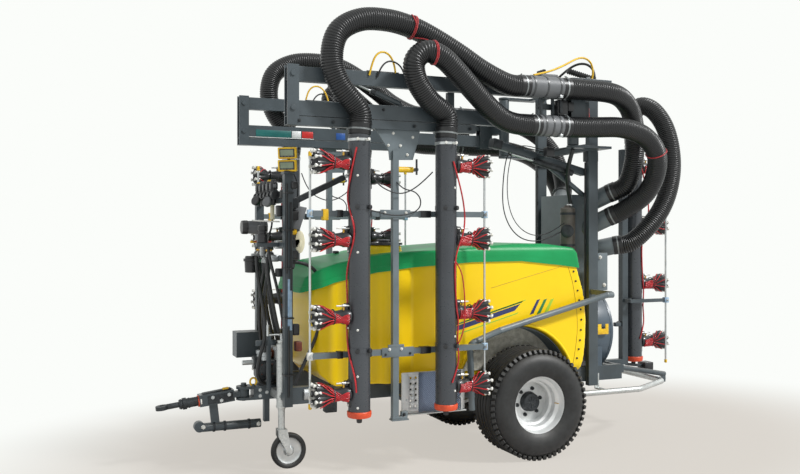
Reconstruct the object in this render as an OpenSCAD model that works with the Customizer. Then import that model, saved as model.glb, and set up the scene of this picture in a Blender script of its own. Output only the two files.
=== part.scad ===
// Trailed pneumatic row sprayer: a wheeled tank cart with a rear fan and two folding
// side arms. Each arm carries a hanging boom with two air ducts and their spray heads.
// X runs from the hitch (-X) to the rear, -Y is the near side, Z is up, and the ground
// is Z = 0. Modules draw about the axle centre; on_axle() moves them to the origin.

/* [Wheels] */
// Outer diameter of the road tyres
wheel_d = 830; // [760:10:840]
// Width of a road tyre
tyre_w = 360; // [300:10:370]
// Distance between the two wheel centre planes
track = 1280; // [1270:10:1340]
// Diameter of the rim flange
rim_d = 475; // [440:5:500]
// Thickness of the tyre's rubber
tyre_wall = 22; // [16:1:26]
// Pitch circle of the wheel bolts
bolt_circle = 205; // [180:5:220]
// Number of wheel bolts
bolt_count = 6; // [4:1:8]
// Diameter of the wheel spindle
spindle_d = 50; // [40:2:60]

/* [Chassis] */
// Width of a chassis rail
rail_w = 60; // [50:5:60]
// Height of a chassis rail
rail_h = 120; // [100:10:130]
// Height of the rail tops above the ground
rail_top = 600; // [590:5:610]
// Distance of each rail's middle from the centre line
rail_y = 335; // [325:5:340]
// Wall of the chassis tubes
rail_wall = 6; // [4:1:8]
// Side of the square axle beam
axle_beam = 90; // [70:5:100]

/* [Tank] */
// Half the width of the tank
tank_half = 620; // [600:5:622]
// Wall of the tank
tank_wall = 8; // [6:1:12]
// Wall of the hood
hood_wall = 6; // [4:1:8]
// Gap between the tank and the hood
hood_gap = 2; // [1:0.5:3]
// Radius of the wheel arch
arch_r = 505; // [495:5:515]
// Outer radius of the filler neck
neck_r = 135; // [110:5:140]

/* [Gantry and arms] */
// Height of the gantry's top
gantry_top = 2950; // [2945:5:3000]
// Width of a gantry post, fore and aft
post_w = 90; // [80:5:100]
// Thickness of a gantry post, side to side
post_t = 50; // [40:5:50]
// Diameter of the turret pin
turret_pin_d = 50; // [40:5:60]
// Height of an arm beam
beam_h = 100; // [80:5:105]
// Width of an arm beam
beam_w = 56; // [50:2:60]
// Wall of the arm beams
beam_wall = 3; // [3:1:6]
// Height of the upper beam's middle
upper_z = 2770; // [2765:5:2780]
// Height of the lower beam's middle
lower_z = 2540; // [2535:5:2545]
// Distance from the axle forward to the front link
link_reach = 1900; // [1850:10:1950]
// Diameter of the beam pivot pins
beam_pin_d = 30; // [24:2:34]

/* [Booms] */
// Outer diameter of an air duct
duct_d = 150; // [140:2:150]
// Wall of an air duct
duct_wall = 2; // [2:0.5:4]
// Height of the boom ducts' lower ends
duct_bottom = 470; // [450:5:500]
// Height of the boom ducts' upper ends
duct_top = 2370; // [2350:5:2380]
// Distance from the axle forward to the front duct
front_duct_reach = 1460; // [1440:5:1480]
// Distance from the axle forward to the rear duct
rear_duct_reach = 810; // [800:5:820]
// Spray heads on each duct
heads = 4; // [2:1:4]
// Height of the lowest spray head
head_low = 626; // [620:2:640]
// Distance between spray heads
head_pitch = 518; // [500:2:518]
// Length of a spray head, from the duct's middle
head_len = 312; // [290:2:320]
// Mouth radius of a spray head
head_r = 88; // [70:2:90]
// Side of the boom's square centre bar
centre_bar = 44; // [40:2:60]
// Side of the boom's crossbars
crossbar = 40; // [30:2:44]
// Diameter of a deflector rod
rod_d = 16; // [12:1:20]

/* [Air hoses] */
// Outer diameter over the ribs
hose_d = 156; // [150:2:160]
// Depth of a rib
rib_depth = 6; // [4:1:8]
// Bore of an air hose
hose_bore = 132; // [120:2:136]
// Distance between the ribs as drawn
rib_pitch = 96; // [96:2:140]

/* [Rear duct and fan] */
// Distance from the axle back to the rear duct
tail_duct_reach = 1460; // [1440:5:1480]
// Height of the rear duct's lower end
tail_bottom = 565; // [555:5:600]
// Height of the rear duct's upper end
tail_top = 2500; // [2480:5:2510]
// Radius of the fan drum
fan_r = 355; // [330:5:355]
// Length of the fan drum
fan_len = 360; // [340:5:370]
// Sheet thickness of the fan drum and the air tower
sheet = 4; // [3:0.5:6]

/* [Jack and hitch] */
// Outer diameter of the jack's sliding leg
leg_d = 48; // [40:2:52]
// Diameter of the jockey wheel
jockey_d = 260; // [240:5:262]
// Width of the jockey wheel
jockey_w = 50; // [40:2:56]
// Bore of the towing eye
eye_bore = 36; // [30:1:45]
// Downward slope of the hitch head, in degrees
hitch_droop = 6.5; // [4:0.5:8]
// Diameter of the hitch pin
hitch_pin_d = 40; // [32:2:44]
// Diameter of the splined power input
pto_d = 34.9; // [34:0.1:36]

/* [Hidden] */
$fn = 48;

// Clearances
run_gap = 0.05;   // radial gap of a running fit
side_gap = 2;     // gap at each side of a beam in its fork
fit_gap = 0.3;    // gap between curved faces that only lie side by side
elbow_lip = 0.5;  // how far an elbow stands proud of the tube in it

// Hitch: the tip of the eye is the front of the machine
knuckle_x = -2060;
knuckle_z = 523;
drawbar_tip = knuckle_x + 70;
eye_ring = 26;
eye_reach = 592;
eye_r = eye_bore / 2 + eye_ring;
eye_t = 28;
stub_len = 22;
rim_t = 24;
hitch_tip = -knuckle_x + (eye_reach + eye_r) * cos(hitch_droop)
  + eye_t / 2 * sin(hitch_droop);
tail_tip = tail_duct_reach + head_len + stub_len;
axle_x = (hitch_tip - tail_tip) / 2;

// Wheels
wheel_r = wheel_d / 2;
rim_r = rim_d / 2;
seat_r = rim_r - 15;
rim_half = tyre_w / 2 - 24;
disc_y = track / 2 - 20;
hub_r = 60;
hub_in = 140;

// Chassis heights and places
rail_bottom = rail_top - rail_h;
rail_in = rail_y - rail_w / 2;
rail_out = rail_y + rail_w / 2;
rail_front = knuckle_x + 270;
rail_rear = 1060;
post_x = 740;
post_y = rail_out + post_t / 2;
drawbar_top = 573;
drawbar_low = 473;
drawbar_half = 60;
saddle_z = wheel_r + axle_beam / 2;

// Tank outlines in X and Z
tank_top = [
  [-1620, 1300], [-1590, 1400], [-1494, 1475], [-1095, 1546], [-548, 1579],
  [-103, 1608], [174, 1607], [404, 1575]
];
tank_back = [[440, 1440], [497, 1253], [544, 1014], [525, 818], [478, 600]];
tank_front = [[-1500, 600], [-1590, 680], [-1636, 900], [-1640, 1200]];
hood_top = [
  [-1720, 1270], [-1690, 1380], [-1600, 1450], [-1494, 1487], [-1095, 1558],
  [-548, 1591], [-103, 1620], [174, 1619], [412, 1588], [446, 1540]
];
hood_edge = [
  [462, 1428], [297, 1450], [-62, 1488], [-491, 1486], [-819, 1462], [-1173, 1417],
  [-1512, 1347]
];
hood_half = tank_half + hood_gap + hood_wall;
arch_x = -100;
arch_z = 490;
arch_in = 420;
// Steps of the tank's side on its way to the front: X, and how far in from the side
tank_steps = [[-772, 0], [-920, 120], [-1140, 120], [-1165, 160], [-1520, 160], [-1640, 320]];
filler_x = -1050;
filler_y = -260;
neck_top = 1612;
hinge_y = filler_y + neck_r + 34;
hinge_r = 5;

// Arms, on the near side
turret_x = 450;
turret_y = 550;
turret_r = 45;
turret_low = 2400;
turret_high = 2900;
bracket_t = 20;
beam_y = 740;
pivot_x = 330;
link_x = -link_reach;
cheek_t = 12;
cheek_in = beam_w / 2 + side_gap;
rail_end = -530;
slide_z = lower_z - beam_h / 2 - 35;
slide_h = 60;

// Booms
boom_y = 850;
bar_y = beam_y;
bar_x = -1155;
bar_low = 400;
bar_high = 2280;
front_duct_x = -front_duct_reach;
rear_duct_x = -rear_duct_reach;
duct_r = duct_d / 2;
cross_zs = [873, 1837];
front_rod_x = -1773;
rear_rod_x = -445;
rod_low = 520;
rod_high = 2250;
head_zs = [for (k = [0:heads - 1]) head_low + k * head_pitch];
tail_zs = [for (k = [0:heads - 1]) head_low + 102 + k * head_pitch];
coupling_y = 868;
coupling_a = [-160, 120];
coupling_b = [-65, 120];
coupling_a_z = 2780;
coupling_b_z = 2495;

// Fan, tower and its spigots
fan_x = 620;
fan_z = 877;
tower_top = 2020;
tower_half = 240;
tower_front = fan_x + 30;
tower_rear = fan_x + 270;
spigot_len = 230;
spigot_root = 20;
spigot_base_x = 800;
spigot_base_y = 190;
spigot_turn = 50;
spigot_rise = 25;
spigot_a_z = 1930;
spigot_b_z = 1735;
tail_spigot = [850, -150, 1545];
tail_spigot_turn = 33;
tail_spigot_rise = 12;

// Jack
jack_x = rail_front - 52;
jack_y = -260;
jack_low = 432;
jack_high = 916;
leg_r = leg_d / 2;
jack_wall = 4;
leg_low = jockey_d + 32;
fork_t = 6;
trail = 52;

// Pump
pump_x = rail_front - 180;
pump_len = 200;
pump_low = drawbar_top + 50;
pump_z = pump_low + 120;
pump_half = 120;
shaft_len = 76;

// Unit vector from a turn about Z and a rise, in degrees
function heading(turn, rise) = [cos(rise) * cos(turn), cos(rise) * sin(turn), sin(rise)];
spigot_dir = heading(-spigot_turn, spigot_rise);
tail_dir = heading(-tail_spigot_turn, tail_spigot_rise);
spigot_a = [spigot_base_x, -spigot_base_y, spigot_a_z];
spigot_b = [spigot_base_x, -spigot_base_y, spigot_b_z];

// Routes of the air hoses, near side
front_route_a = [
  [front_duct_x, -boom_y, duct_top], [front_duct_x, -boom_y, duct_top + hose_d],
  [-1600, -850, 2700], [-1655, -850, 2870], [-1610, -850, 3050], [-1450, -840, 3150],
  [-1240, -820, 3170], [-1050, -805, 3140], [-880, -815, 3070], [-700, -840, 2970],
  [-520, -862, 2860],
  [coupling_a[0] - hose_d, -coupling_y, coupling_a_z],
  [coupling_a[0], -coupling_y, coupling_a_z]
];
front_route_b = [
  [rear_duct_x, -boom_y, duct_top], [rear_duct_x, -boom_y, duct_top + hose_d],
  [-950, -870, 2630], [-1060, -900, 2760], [-1085, -930, 2880], [-1010, -950, 2950],
  [-890, -950, 2920], [-770, -940, 2830], [-630, -920, 2710], [-480, -895, 2590],
  [-350, -872, 2520],
  [coupling_b[0] - hose_d, -coupling_y, coupling_b_z],
  [coupling_b[0], -coupling_y, coupling_b_z]
];
rear_route_a = [
  spigot_a + spigot_len * spigot_dir, spigot_a + (spigot_len + hose_d) * spigot_dir,
  [1040, -540, 2260], [1020, -590, 2430], [950, -660, 2590], [820, -750, 2710],
  [600, -860, 2770], [coupling_a[1] + hose_d, -coupling_y, coupling_a_z],
  [coupling_a[1], -coupling_y, coupling_a_z]
];
rear_route_b = [
  spigot_b + spigot_len * spigot_dir, spigot_b + (spigot_len + hose_d) * spigot_dir,
  [1110, -610, 2020], [1130, -710, 2180], [1070, -790, 2340], [920, -830, 2460],
  [690, -865, 2510], [460, -868, 2505],
  [coupling_b[1] + hose_d, -coupling_y, coupling_b_z],
  [coupling_b[1], -coupling_y, coupling_b_z]
];
far_route_a = [
  spigot_a + spigot_len * spigot_dir, spigot_a + (spigot_len + hose_d) * spigot_dir,
  [1050, -540, 2250], [1010, -590, 2420], [920, -660, 2570], [770, -760, 2690],
  [560, -862, 2760], [coupling_a[1] + hose_d, -coupling_y, coupling_a_z],
  [coupling_a[1], -coupling_y, coupling_a_z]
];
far_route_b = [
  spigot_b + spigot_len * spigot_dir, spigot_b + (spigot_len + hose_d) * spigot_dir,
  [1100, -620, 2020], [1100, -720, 2170], [1020, -790, 2320], [860, -830, 2430],
  [640, -864, 2490], [440, -868, 2495],
  [coupling_b[1] + hose_d, -coupling_y, coupling_b_z],
  [coupling_b[1], -coupling_y, coupling_b_z]
];
tail_route = [
  tail_spigot + spigot_len * tail_dir, tail_spigot + (spigot_len + hose_d) * tail_dir,
  [1330, -430, 1800], [1450, -440, 1980], [1530, -420, 2200], [1565, -370, 2420],
  [1550, -310, 2620], [1500, -220, 2770], [1455, -110, 2820], [1450, -20, 2760],
  [tail_duct_reach, 0, tail_top + hose_d], [tail_duct_reach, 0, tail_top]
];

// Routes of the thin hoses in front of the tank, X from the front of the rails
front_bundle = [
  [[-104, -20, 1509], [-104, -20, 1440], [-90, -70, 1150], [-30, -70, 920],
    [-30, -70, 863.5]],
  [[-104, 60, 1509], [-104, 60, 1440], [-90, 80, 1150], [-30, 70, 920],
    [-30, 70, 863.5]],
  [[-104, -110, 1509], [-104, -110, 1440], [-175, -150, 1150], [-120, -70, 880],
    [-120, -70, 823.5]],
  [[-104, 20, 1509], [-104, 20, 1440], [-160, 20, 1150], [-120, 70, 880],
    [-120, 70, 823.5]],
  [[-104, 200, 1509], [-104, 200, 1440], [-50, 250, 1000], [-10, 250, 700],
    [-10, 250, 600.5]]
];
thin_hose_r = 15;

// ---------------------------------------------------------------- helpers

module on_axle() {
  translate([axle_x, 0, 0]) children();
}

// The near side is drawn; the far side is its mirror image
module far_side() {
  mirror([0, 1, 0]) children();
}

module both_sides() {
  children();
  far_side() children();
}

// Box from its lowest corner to its highest corner
module block(low, high) {
  translate(low) cube(high - low);
}

// Round bar between two points
module bar(from, to, r) {
  d = to - from;
  turn = atan2(d[1], d[0]);
  tilt = acos(d[2] / norm(d));
  translate(from) rotate([0, tilt, turn]) cylinder(r = r, h = norm(d));
}

// Hollow box along X, with open ends
module box_tube_x(x0, x1, y, z, w, h, wall) {
  difference() {
    block([x0, y - w / 2, z - h / 2], [x1, y + w / 2, z + h / 2]);
    block([x0 - 1, y - w / 2 + wall, z - h / 2 + wall],
      [x1 + 1, y + w / 2 - wall, z + h / 2 - wall]);
  }
}

// Hollow box along Z, with open ends
module box_tube_z(z0, z1, x, y, w, d, wall) {
  difference() {
    block([x - w / 2, y - d / 2, z0], [x + w / 2, y + d / 2, z1]);
    block([x - w / 2 + wall, y - d / 2 + wall, z0 - 1],
      [x + w / 2 - wall, y + d / 2 - wall, z1 + 1]);
  }
}

// Round rod along Y, centred on y
module rod_y(x, y, z, r, length) {
  translate([x, y - length / 2, z]) rotate([-90, 0, 0]) cylinder(r = r, h = length);
}

module rod_x(x0, x1, y, z, r) {
  translate([x0, y, z]) rotate([0, 90, 0]) cylinder(r = r, h = x1 - x0);
}

// Round tube through corners in the XY plane; an elbow at each corner takes the ends in
module bent_tube(route, r, bend) {
  lap = 2;
  last = len(route) - 1;
  ends = [for (i = [0:last]) i == 0 || i == last ? 0
    : bend * tan(turn_at(route, i) / 2)];
  for (i = [0:last - 1]) {
    t = (route[i + 1] - route[i]) / norm(route[i + 1] - route[i]);
    from = route[i] + (ends[i] - (i > 0 ? lap : 0)) * t;
    to = route[i + 1] - (ends[i + 1] - (i + 1 < last ? lap : 0)) * t;
    bar([from[0], from[1], 0], [to[0], to[1], 0], r - elbow_lip);
  }
  for (i = [1:last - 1]) {
    t = (route[i] - route[i - 1]) / norm(route[i] - route[i - 1]);
    left = left_turn(route, i) ? 1 : -1;
    start = route[i] - ends[i] * t;
    translate([start[0] - left * bend * t[1], start[1] + left * bend * t[0], 0])
      rotate([0, 0, atan2(t[1], t[0]) - left * 90 - (left < 0 ? turn_at(route, i) : 0)])
        rotate_extrude(angle = turn_at(route, i)) translate([bend, 0]) circle(r = r);
  }
}
function left_turn(p, i) = cross(p[i] - p[i - 1], p[i + 1] - p[i]) > 0;
function turn_at(p, i) = acos((p[i] - p[i - 1]) * (p[i + 1] - p[i])
  / norm(p[i] - p[i - 1]) / norm(p[i + 1] - p[i]));

// Point on a smooth curve through the second and third of four points
function curve(p, q, r, s, t) =
  0.5 * (2 * q + (r - p) * t + (2 * p - 5 * q + 4 * r - s) * t * t
  + (3 * q - p - 3 * r + s) * t * t * t);
function clamp_to(i, n) = min(max(i, 0), n - 1);
function smooth(route, steps) = [
  for (i = [0:len(route) - 2]) for (k = [0:steps - 1])
    curve(route[clamp_to(i - 1, len(route))], route[i], route[i + 1],
      route[clamp_to(i + 2, len(route))], k / steps),
  route[len(route) - 1]
];
function run(path) = [
  for (i = 0, s = 0; i < len(path);
    s = s + (i + 1 < len(path) ? norm(path[i + 1] - path[i]) : 0), i = i + 1) s
];
function place_at(path, at, s, i = 0) =
  i + 2 >= len(path) || at[i + 1] >= s
  ? path[i] + (path[i + 1] - path[i]) * (s - at[i]) / (at[i + 1] - at[i])
  : place_at(path, at, s, i + 1);
function evenly(path, n) =
  let (at = run(path), total = at[len(at) - 1])
  [for (k = [0:n]) place_at(path, at, total * k / n)];
function unit(v) = v / norm(v);
function heading_at(route, p, i) =
  i == 0 ? unit(route[1] - route[0])
  : i == len(p) - 1 ? unit(route[len(route) - 1] - route[len(route) - 2])
  : unit(p[i + 1] - p[i - 1]);
function square_to(n, t) = unit(n - (n * t) * t);
function sides_of(route, p) = [
  for (i = 0, n = square_to([0.1, 1, 0.2], heading_at(route, p, 0)); i < len(p);
    i = i + 1, n = square_to(n, heading_at(route, p, min(i, len(p) - 1)))) n
];
function ring(p, t, n, r, sides) =
  let (b = cross(t, n))
  [for (k = [0:sides - 1]) p + r * (cos(360 * k / sides) * n + sin(360 * k / sides) * b)];
function skin(a, b, sides, flip) = [
  for (k = [0:sides - 1])
    let (l = (k + 1) % sides)
      each (flip ? [[a + k, b + k, a + l], [a + l, b + k, b + l]]
        : [[a + k, a + l, b + k], [a + l, b + l, b + k]])
];

// Ribbed air hose with an open bore; every rib has a valley ring and a crest ring
module ribbed_hose(route) {
  sides = 8;
  path = smooth(route, 8);
  total = run(path)[len(path) - 1];
  ribs = round(total / rib_pitch);
  p = evenly(path, 2 * ribs);
  n = sides_of(route, p);
  outer = [for (i = [0:2 * ribs]) each ring(p[i], heading_at(route, p, i), n[i],
    i % 2 == 0 ? hose_d / 2 - rib_depth : hose_d / 2, sides)];
  inner = [for (i = [0:ribs]) each ring(p[2 * i], heading_at(route, p, 2 * i), n[2 * i],
    hose_bore / 2, sides)];
  base = len(outer);
  faces = concat(
    [for (i = [0:2 * ribs - 1]) each skin(i * sides, (i + 1) * sides, sides, false)],
    [for (i = [0:ribs - 1]) each skin(base + i * sides, base + (i + 1) * sides, sides, true)],
    skin(0, base, sides, true),
    skin(2 * ribs * sides, base + ribs * sides, sides, false));
  echo(ribs = ribs, length = total);
  polyhedron(points = concat(outer, inner), faces = [for (f = faces) [f[2], f[1], f[0]]]);
}

// Plain thin hose along a route
module thin_hose(route, r) {
  sides = 8;
  p = evenly(smooth(route, 6), 9);
  n = sides_of(route, p);
  last = (len(p) - 1) * sides;
  points = [for (i = [0:len(p) - 1]) each ring(p[i], heading_at(route, p, i), n[i], r,
    sides)];
  faces = concat(
    [for (i = [0:len(p) - 2]) each skin(i * sides, (i + 1) * sides, sides, false)],
    [for (k = [1:sides - 2]) [0, k + 1, k]],
    [for (k = [1:sides - 2]) [last, last + k, last + k + 1]]);
  polyhedron(points = points, faces = [for (f = faces) [f[2], f[1], f[0]]]);
}

// ---------------------------------------------------------------- chassis

module chassis_frame() {
  color("#2f3a42") {
    both_sides() {
      box_tube_x(rail_front, rail_rear, -rail_y, rail_top - rail_h / 2, rail_w, rail_h,
        rail_wall);
    }
    for (x = [rail_front, -900, 250, rail_rear - 60])
      box_tube_cross(x);
    block([rail_front - 20, -rail_out, rail_bottom],
      [rail_front, rail_out, rail_top]);
    // Drawbar with the two ears of its knuckle
    box_tube_x(drawbar_tip, rail_front - 20, 0, (drawbar_low + drawbar_top) / 2,
      2 * drawbar_half, drawbar_top - drawbar_low, rail_wall);
    for (z = [drawbar_low, drawbar_top - 20]) {
      translate([knuckle_x, 0, z]) cylinder(r = 55, h = 20);
      block([knuckle_x, -55, z], [drawbar_tip, 55, z + 20]);
    }
    block([drawbar_tip - 6, -drawbar_half, drawbar_low], [drawbar_tip, drawbar_half, drawbar_top]);
    translate([knuckle_x, 0, drawbar_low - 8])
      cylinder(d = hitch_pin_d, h = drawbar_top - drawbar_low + 30);
    // Lug behind the hitch's lower link
    block([knuckle_x + 150, -25, 300], [knuckle_x + 190, 25, drawbar_low]);
  }
}

// Cross member between the rails
module box_tube_cross(x) {
  difference() {
    block([x, -rail_in, rail_bottom + 20], [x + 60, rail_in, rail_top - 20]);
    block([x + rail_wall, -rail_in - 1, rail_bottom + 20 + rail_wall],
      [x + 60 - rail_wall, rail_in + 1, rail_top - 20 - rail_wall]);
  }
}

module axle() {
  color("#2f3a42") {
    translate([0, 0, wheel_r]) cube([axle_beam, 2 * rail_out + 40, axle_beam], center = true);
    both_sides() {
      block([-60, -rail_out - 5, saddle_z], [60, -rail_in + 5, rail_bottom]);
      rod_y(0, -(rail_out + 20 + disc_y - hub_in) / 2, wheel_r, 70,
        disc_y - hub_in - 2 - rail_out - 20);
      rod_y(0, -(rail_out + disc_y + 30) / 2, wheel_r, spindle_d / 2, disc_y + 30 - rail_out);
    }
  }
}

// ---------------------------------------------------------------- tank

// Corners rounded by r after the outline is drawn in by inset
module eased(r, inset) {
  offset(r = r, $fn = 24) offset(delta = -r - inset) children();
}

module tank_body(inset) {
  difference() {
    intersection() {
      rotate([90, 0, 0]) linear_extrude(2 * tank_half, center = true)
        eased(60, inset) polygon(concat(tank_top, tank_back, tank_front));
      translate([-2000, 0, 0]) rotate([90, 0, 90]) linear_extrude(3000)
        eased(90, inset) translate([-tank_half, rail_top])
          square([2 * tank_half, neck_top - rail_top]);
      linear_extrude(2000) eased(70, inset) plan(tank_half, 556, 0, 0);
    }
    both_sides() rod_y(arch_x, -arch_in - 300 + inset, arch_z, arch_r + inset, 600);
  }
}

// Outline from above: square at the back, drawn in by steps to the front
module plan(half, back, grow, ahead) {
  side = [for (i = [0:len(tank_steps) - 1])
    [tank_steps[i][0] - (i < len(tank_steps) - 2 ? grow : ahead), half - tank_steps[i][1]]];
  mirrored = [for (i = [len(side) - 1:-1:0]) [side[i][0], -side[i][1]]];
  polygon(concat([[back, half]], side, mirrored, [[back, -half]]));
}

module tank() {
  color("#f2d21b") difference() {
    union() {
      tank_body(0);
      translate([filler_x, filler_y, 1500]) cylinder(r = neck_r, h = neck_top - 1500);
      for (side = [-1, 1]) {
        block([filler_x + side * 48 - 16, filler_y + neck_r - 20, neck_top - 30],
          [filler_x + side * 48 + 16, hinge_y + 12, neck_top]);
        block([filler_x + side * 48 - 16, hinge_y - 12, neck_top - 2],
          [filler_x + side * 48 + 16, hinge_y + 12, neck_top + 12]);
      }
    }
    tank_body(tank_wall);
    translate([filler_x, filler_y, 1400]) cylinder(r = neck_r - 10, h = 400);
    rod_x(filler_x - 100, filler_x + 100, hinge_y, neck_top, hinge_r + fit_gap);
  }
}

module hood_body(inset, drop) {
  edge = [for (p = hood_edge) [p[0], p[1] - drop]];
  start = [for (i = [0:len(hood_top) - 1]) i == 0
    ? [hood_top[0][0], hood_top[0][1] - drop] : hood_top[i]];
  intersection() {
    rotate([90, 0, 0]) linear_extrude(2 * hood_half, center = true)
      offset(delta = -inset) polygon(concat(start, edge));
    translate([-2000, 0, 0]) rotate([90, 0, 90]) linear_extrude(3000)
      eased(70, inset) translate([-hood_half, 800])
        square([2 * hood_half, 1622 - 800]);
    linear_extrude(2000)
      eased(60, inset) plan(hood_half, 504, 8, 80);
  }
}

module tank_hood() {
  color("#149a52") difference() {
    hood_body(0, 0);
    hood_body(hood_wall, 200);
    translate([filler_x, filler_y, 1400]) cylinder(r = neck_r + 3, h = 400);
    block([filler_x - 70, filler_y, 1400], [filler_x + 70, hinge_y + 16, 1700]);
  }
}

module filler_lid() {
  color("#1c1c1c") {
    translate([filler_x, filler_y, neck_top + 1]) cylinder(r = neck_r + 8, h = 16);
    translate([filler_x, filler_y, neck_top + 17]) cylinder(r = 40, h = 14);
    block([filler_x - 28, filler_y + neck_r, neck_top + 1],
      [filler_x + 28, hinge_y, neck_top + 10]);
    rod_x(filler_x - 28, filler_x + 28, hinge_y, neck_top, 10);
    rod_x(filler_x - 64, filler_x + 64, hinge_y, neck_top, hinge_r);
  }
}

// ---------------------------------------------------------------- gantry

module gantry() {
  upper = turret_high + 5;
  lower = turret_low - 5 - bracket_t;
  color("#39444c") {
    both_sides() {
      box_tube_z(rail_bottom - 30, gantry_top, post_x, -post_y, post_w, post_t, 5);
      // Brackets and pin of the turret
      for (z = [upper, lower]) {
        block([turret_x, -turret_y - 50, z], [post_x - 45, -turret_y + 50, z + bracket_t]);
        block([post_x - 45, -turret_y - 50, z], [post_x + 45, -post_y - post_t / 2,
          z + bracket_t]);
        translate([turret_x, -turret_y, z]) cylinder(r = 50, h = bracket_t);
      }
      translate([turret_x, -turret_y, lower]) cylinder(d = turret_pin_d,
        h = upper + bracket_t - lower);
    }
    for (z = [lower, upper - 10])
      block([post_x - 30, -post_y + post_t / 2, z], [post_x + 30, post_y - post_t / 2, z + 60]);
    // Lean-to stay plates on the posts' heads
    both_sides() translate([0, -post_y - post_t / 2, 0]) rotate([90, 0, 0])
      linear_extrude(8)
        polygon([[post_x - 40, gantry_top - 130], [post_x + 120, gantry_top - 130],
          [post_x + 30, gantry_top + 10], [post_x - 40, gantry_top + 10]]);
    block([420, -120, upper + 20], [620, 60, upper + 70]);
    block([440, -60, upper], [post_x - 30, 60, upper + 20]);
  }
}

module fan_housing() {
  color("#4a5a68") {
    difference() {
      rod_x(fan_x, fan_x + fan_len, 0, fan_z, fan_r);
      rod_x(fan_x + sheet, fan_x + fan_len + 1, 0, fan_z, fan_r - sheet);
      rod_x(fan_x - 1, fan_x + 10, 0, fan_z, 30);
      block([tower_front + sheet, -tower_half + sheet, fan_z],
        [tower_rear - sheet, tower_half - sheet, fan_z + 400]);
    }
    // Inlet grille
    for (r = [90, 160, 230, 300])
      translate([fan_x + fan_len - 16, 0, fan_z]) rotate([0, 90, 0]) difference() {
        cylinder(r = r, h = 8);
        translate([0, 0, -1]) cylinder(r = r - 8, h = 10);
      }
    for (a = [0:60:300])
      translate([fan_x + fan_len - 12, 0, fan_z]) rotate([a, 0, 0])
        block([-6, -4, 86], [6, 4, fan_r - sheet / 2]);
    // Motor on the front plate
    difference() {
      union() {
        rod_x(fan_x - 12, fan_x, 0, fan_z, 70);
        rod_x(fan_x - 60, fan_x - 12, 0, fan_z, 48);
      }
      rod_x(fan_x - 50, fan_x + 1, 0, fan_z, 20 + run_gap);
    }
    // Saddles on the rails
    difference() {
      both_sides() block([fan_x + 180, -rail_out, rail_top],
        [fan_x + 240, -rail_in, fan_z - 120]);
      rod_x(fan_x + 170, fan_x + 250, 0, fan_z, fan_r - sheet / 2);
    }
  }
}

module fan_rotor() {
  color("#b9bec2") {
    rod_x(fan_x - 48, fan_x + 230, 0, fan_z, 20);
    rod_x(fan_x + 60, fan_x + 220, 0, fan_z, 62);
    for (a = [0:45:315])
      translate([fan_x + 140, 0, fan_z]) rotate([a, 0, 0]) rotate([0, 0, 35])
        block([-60, -4, 50], [60, 4, fan_r - 60]);
  }
}

// Round spigot that points along a heading
module spigot(at, turn, rise, bore) {
  translate(at) rotate([0, 90 - rise, turn]) translate([0, 0, -spigot_root])
    cylinder(r = bore ? duct_r - sheet : duct_r, h = spigot_root + spigot_len + (bore ? 1 : 0));
}

module tower_spigots(bore) {
  for (side = [-1, 1]) for (z = [spigot_a_z, spigot_b_z])
    spigot([spigot_base_x, side * spigot_base_y, z], side * spigot_turn, spigot_rise, bore);
  spigot(tail_spigot, -tail_spigot_turn, tail_spigot_rise, bore);
}

module air_tower() {
  color("#59656c") difference() {
    union() {
      block([tower_front, -tower_half, fan_z], [tower_rear, tower_half, tower_top]);
      tower_spigots(false);
    }
    block([tower_front + sheet, -tower_half + sheet, fan_z - 1],
      [tower_rear - sheet, tower_half - sheet, tower_top - sheet]);
    tower_spigots(true);
    rod_x(fan_x - 10, fan_x + fan_len + 10, 0, fan_z, fan_r);
  }
}

module rear_hoop() {
  z = 420;
  r = 24;
  hanger = post_x + post_w / 2;
  corners = [[520, -550], [1100, -550], [1540, -300], [1540, 300], [1100, 550], [520, 550]];
  color("#c6cacb") {
    translate([0, 0, z]) bent_tube(corners, r, 100);
    both_sides() block([hanger, -540, z - 5], [hanger + 40, -rail_out, z + 5]);
    both_sides() block([hanger, -rail_out - 8, z], [hanger + 40, -rail_out, rail_top - 60]);
  }
}

module wheel_guards() {
  route = [[-516, 400], [-533, 887], [-281, 975], [680, 1212], [post_x - 5, 1212]];
  y = -tank_half - 60;
  color("#4b545b") both_sides() {
    translate([0, y, 0]) rotate([90, 0, 0]) bent_tube(route, 24, 60);
    block([-540, y, rail_bottom + 10], [-500, -rail_out, rail_bottom + 50]);
    block([post_x - 30, y, 1200], [post_x - 10, -post_y - post_t / 2, 1240]);
    // Mudguard inside the arch, closed towards the tank
    difference() {
      rod_y(arch_x, -(arch_in + 87), arch_z, arch_r - 8, 166);
      rod_y(arch_x, -(arch_in + 97), arch_z, arch_r - 14, 166);
      block([arch_x - 600, -700, -100], [arch_x + 600, -300, rail_top + 60]);
    }
    block([arch_x - 20, -arch_in - 160, arch_z + arch_r - 10],
      [arch_x + 20, -arch_in - 20, arch_z + arch_r - 2]);
  }
}

module step() {
  y = -tank_half - 18;
  left = -1060;
  right = -560;
  color("#b8bcb6") difference() {
    union() {
      block([left, y, 400], [right, y + 6, 700]);
      block([left, y - 40, 400], [right, y, 408]);
      for (x = [left + 20, right - 50])
        block([x, y + 6, rail_bottom + 10], [x + 30, -rail_out, rail_bottom + 40]);
    }
    for (x = [left + 68, left + 108]) for (z = [470:41:680])
      rod_y(x, y, z, 9, 60);
  }
}

// ---------------------------------------------------------------- wheels

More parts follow.
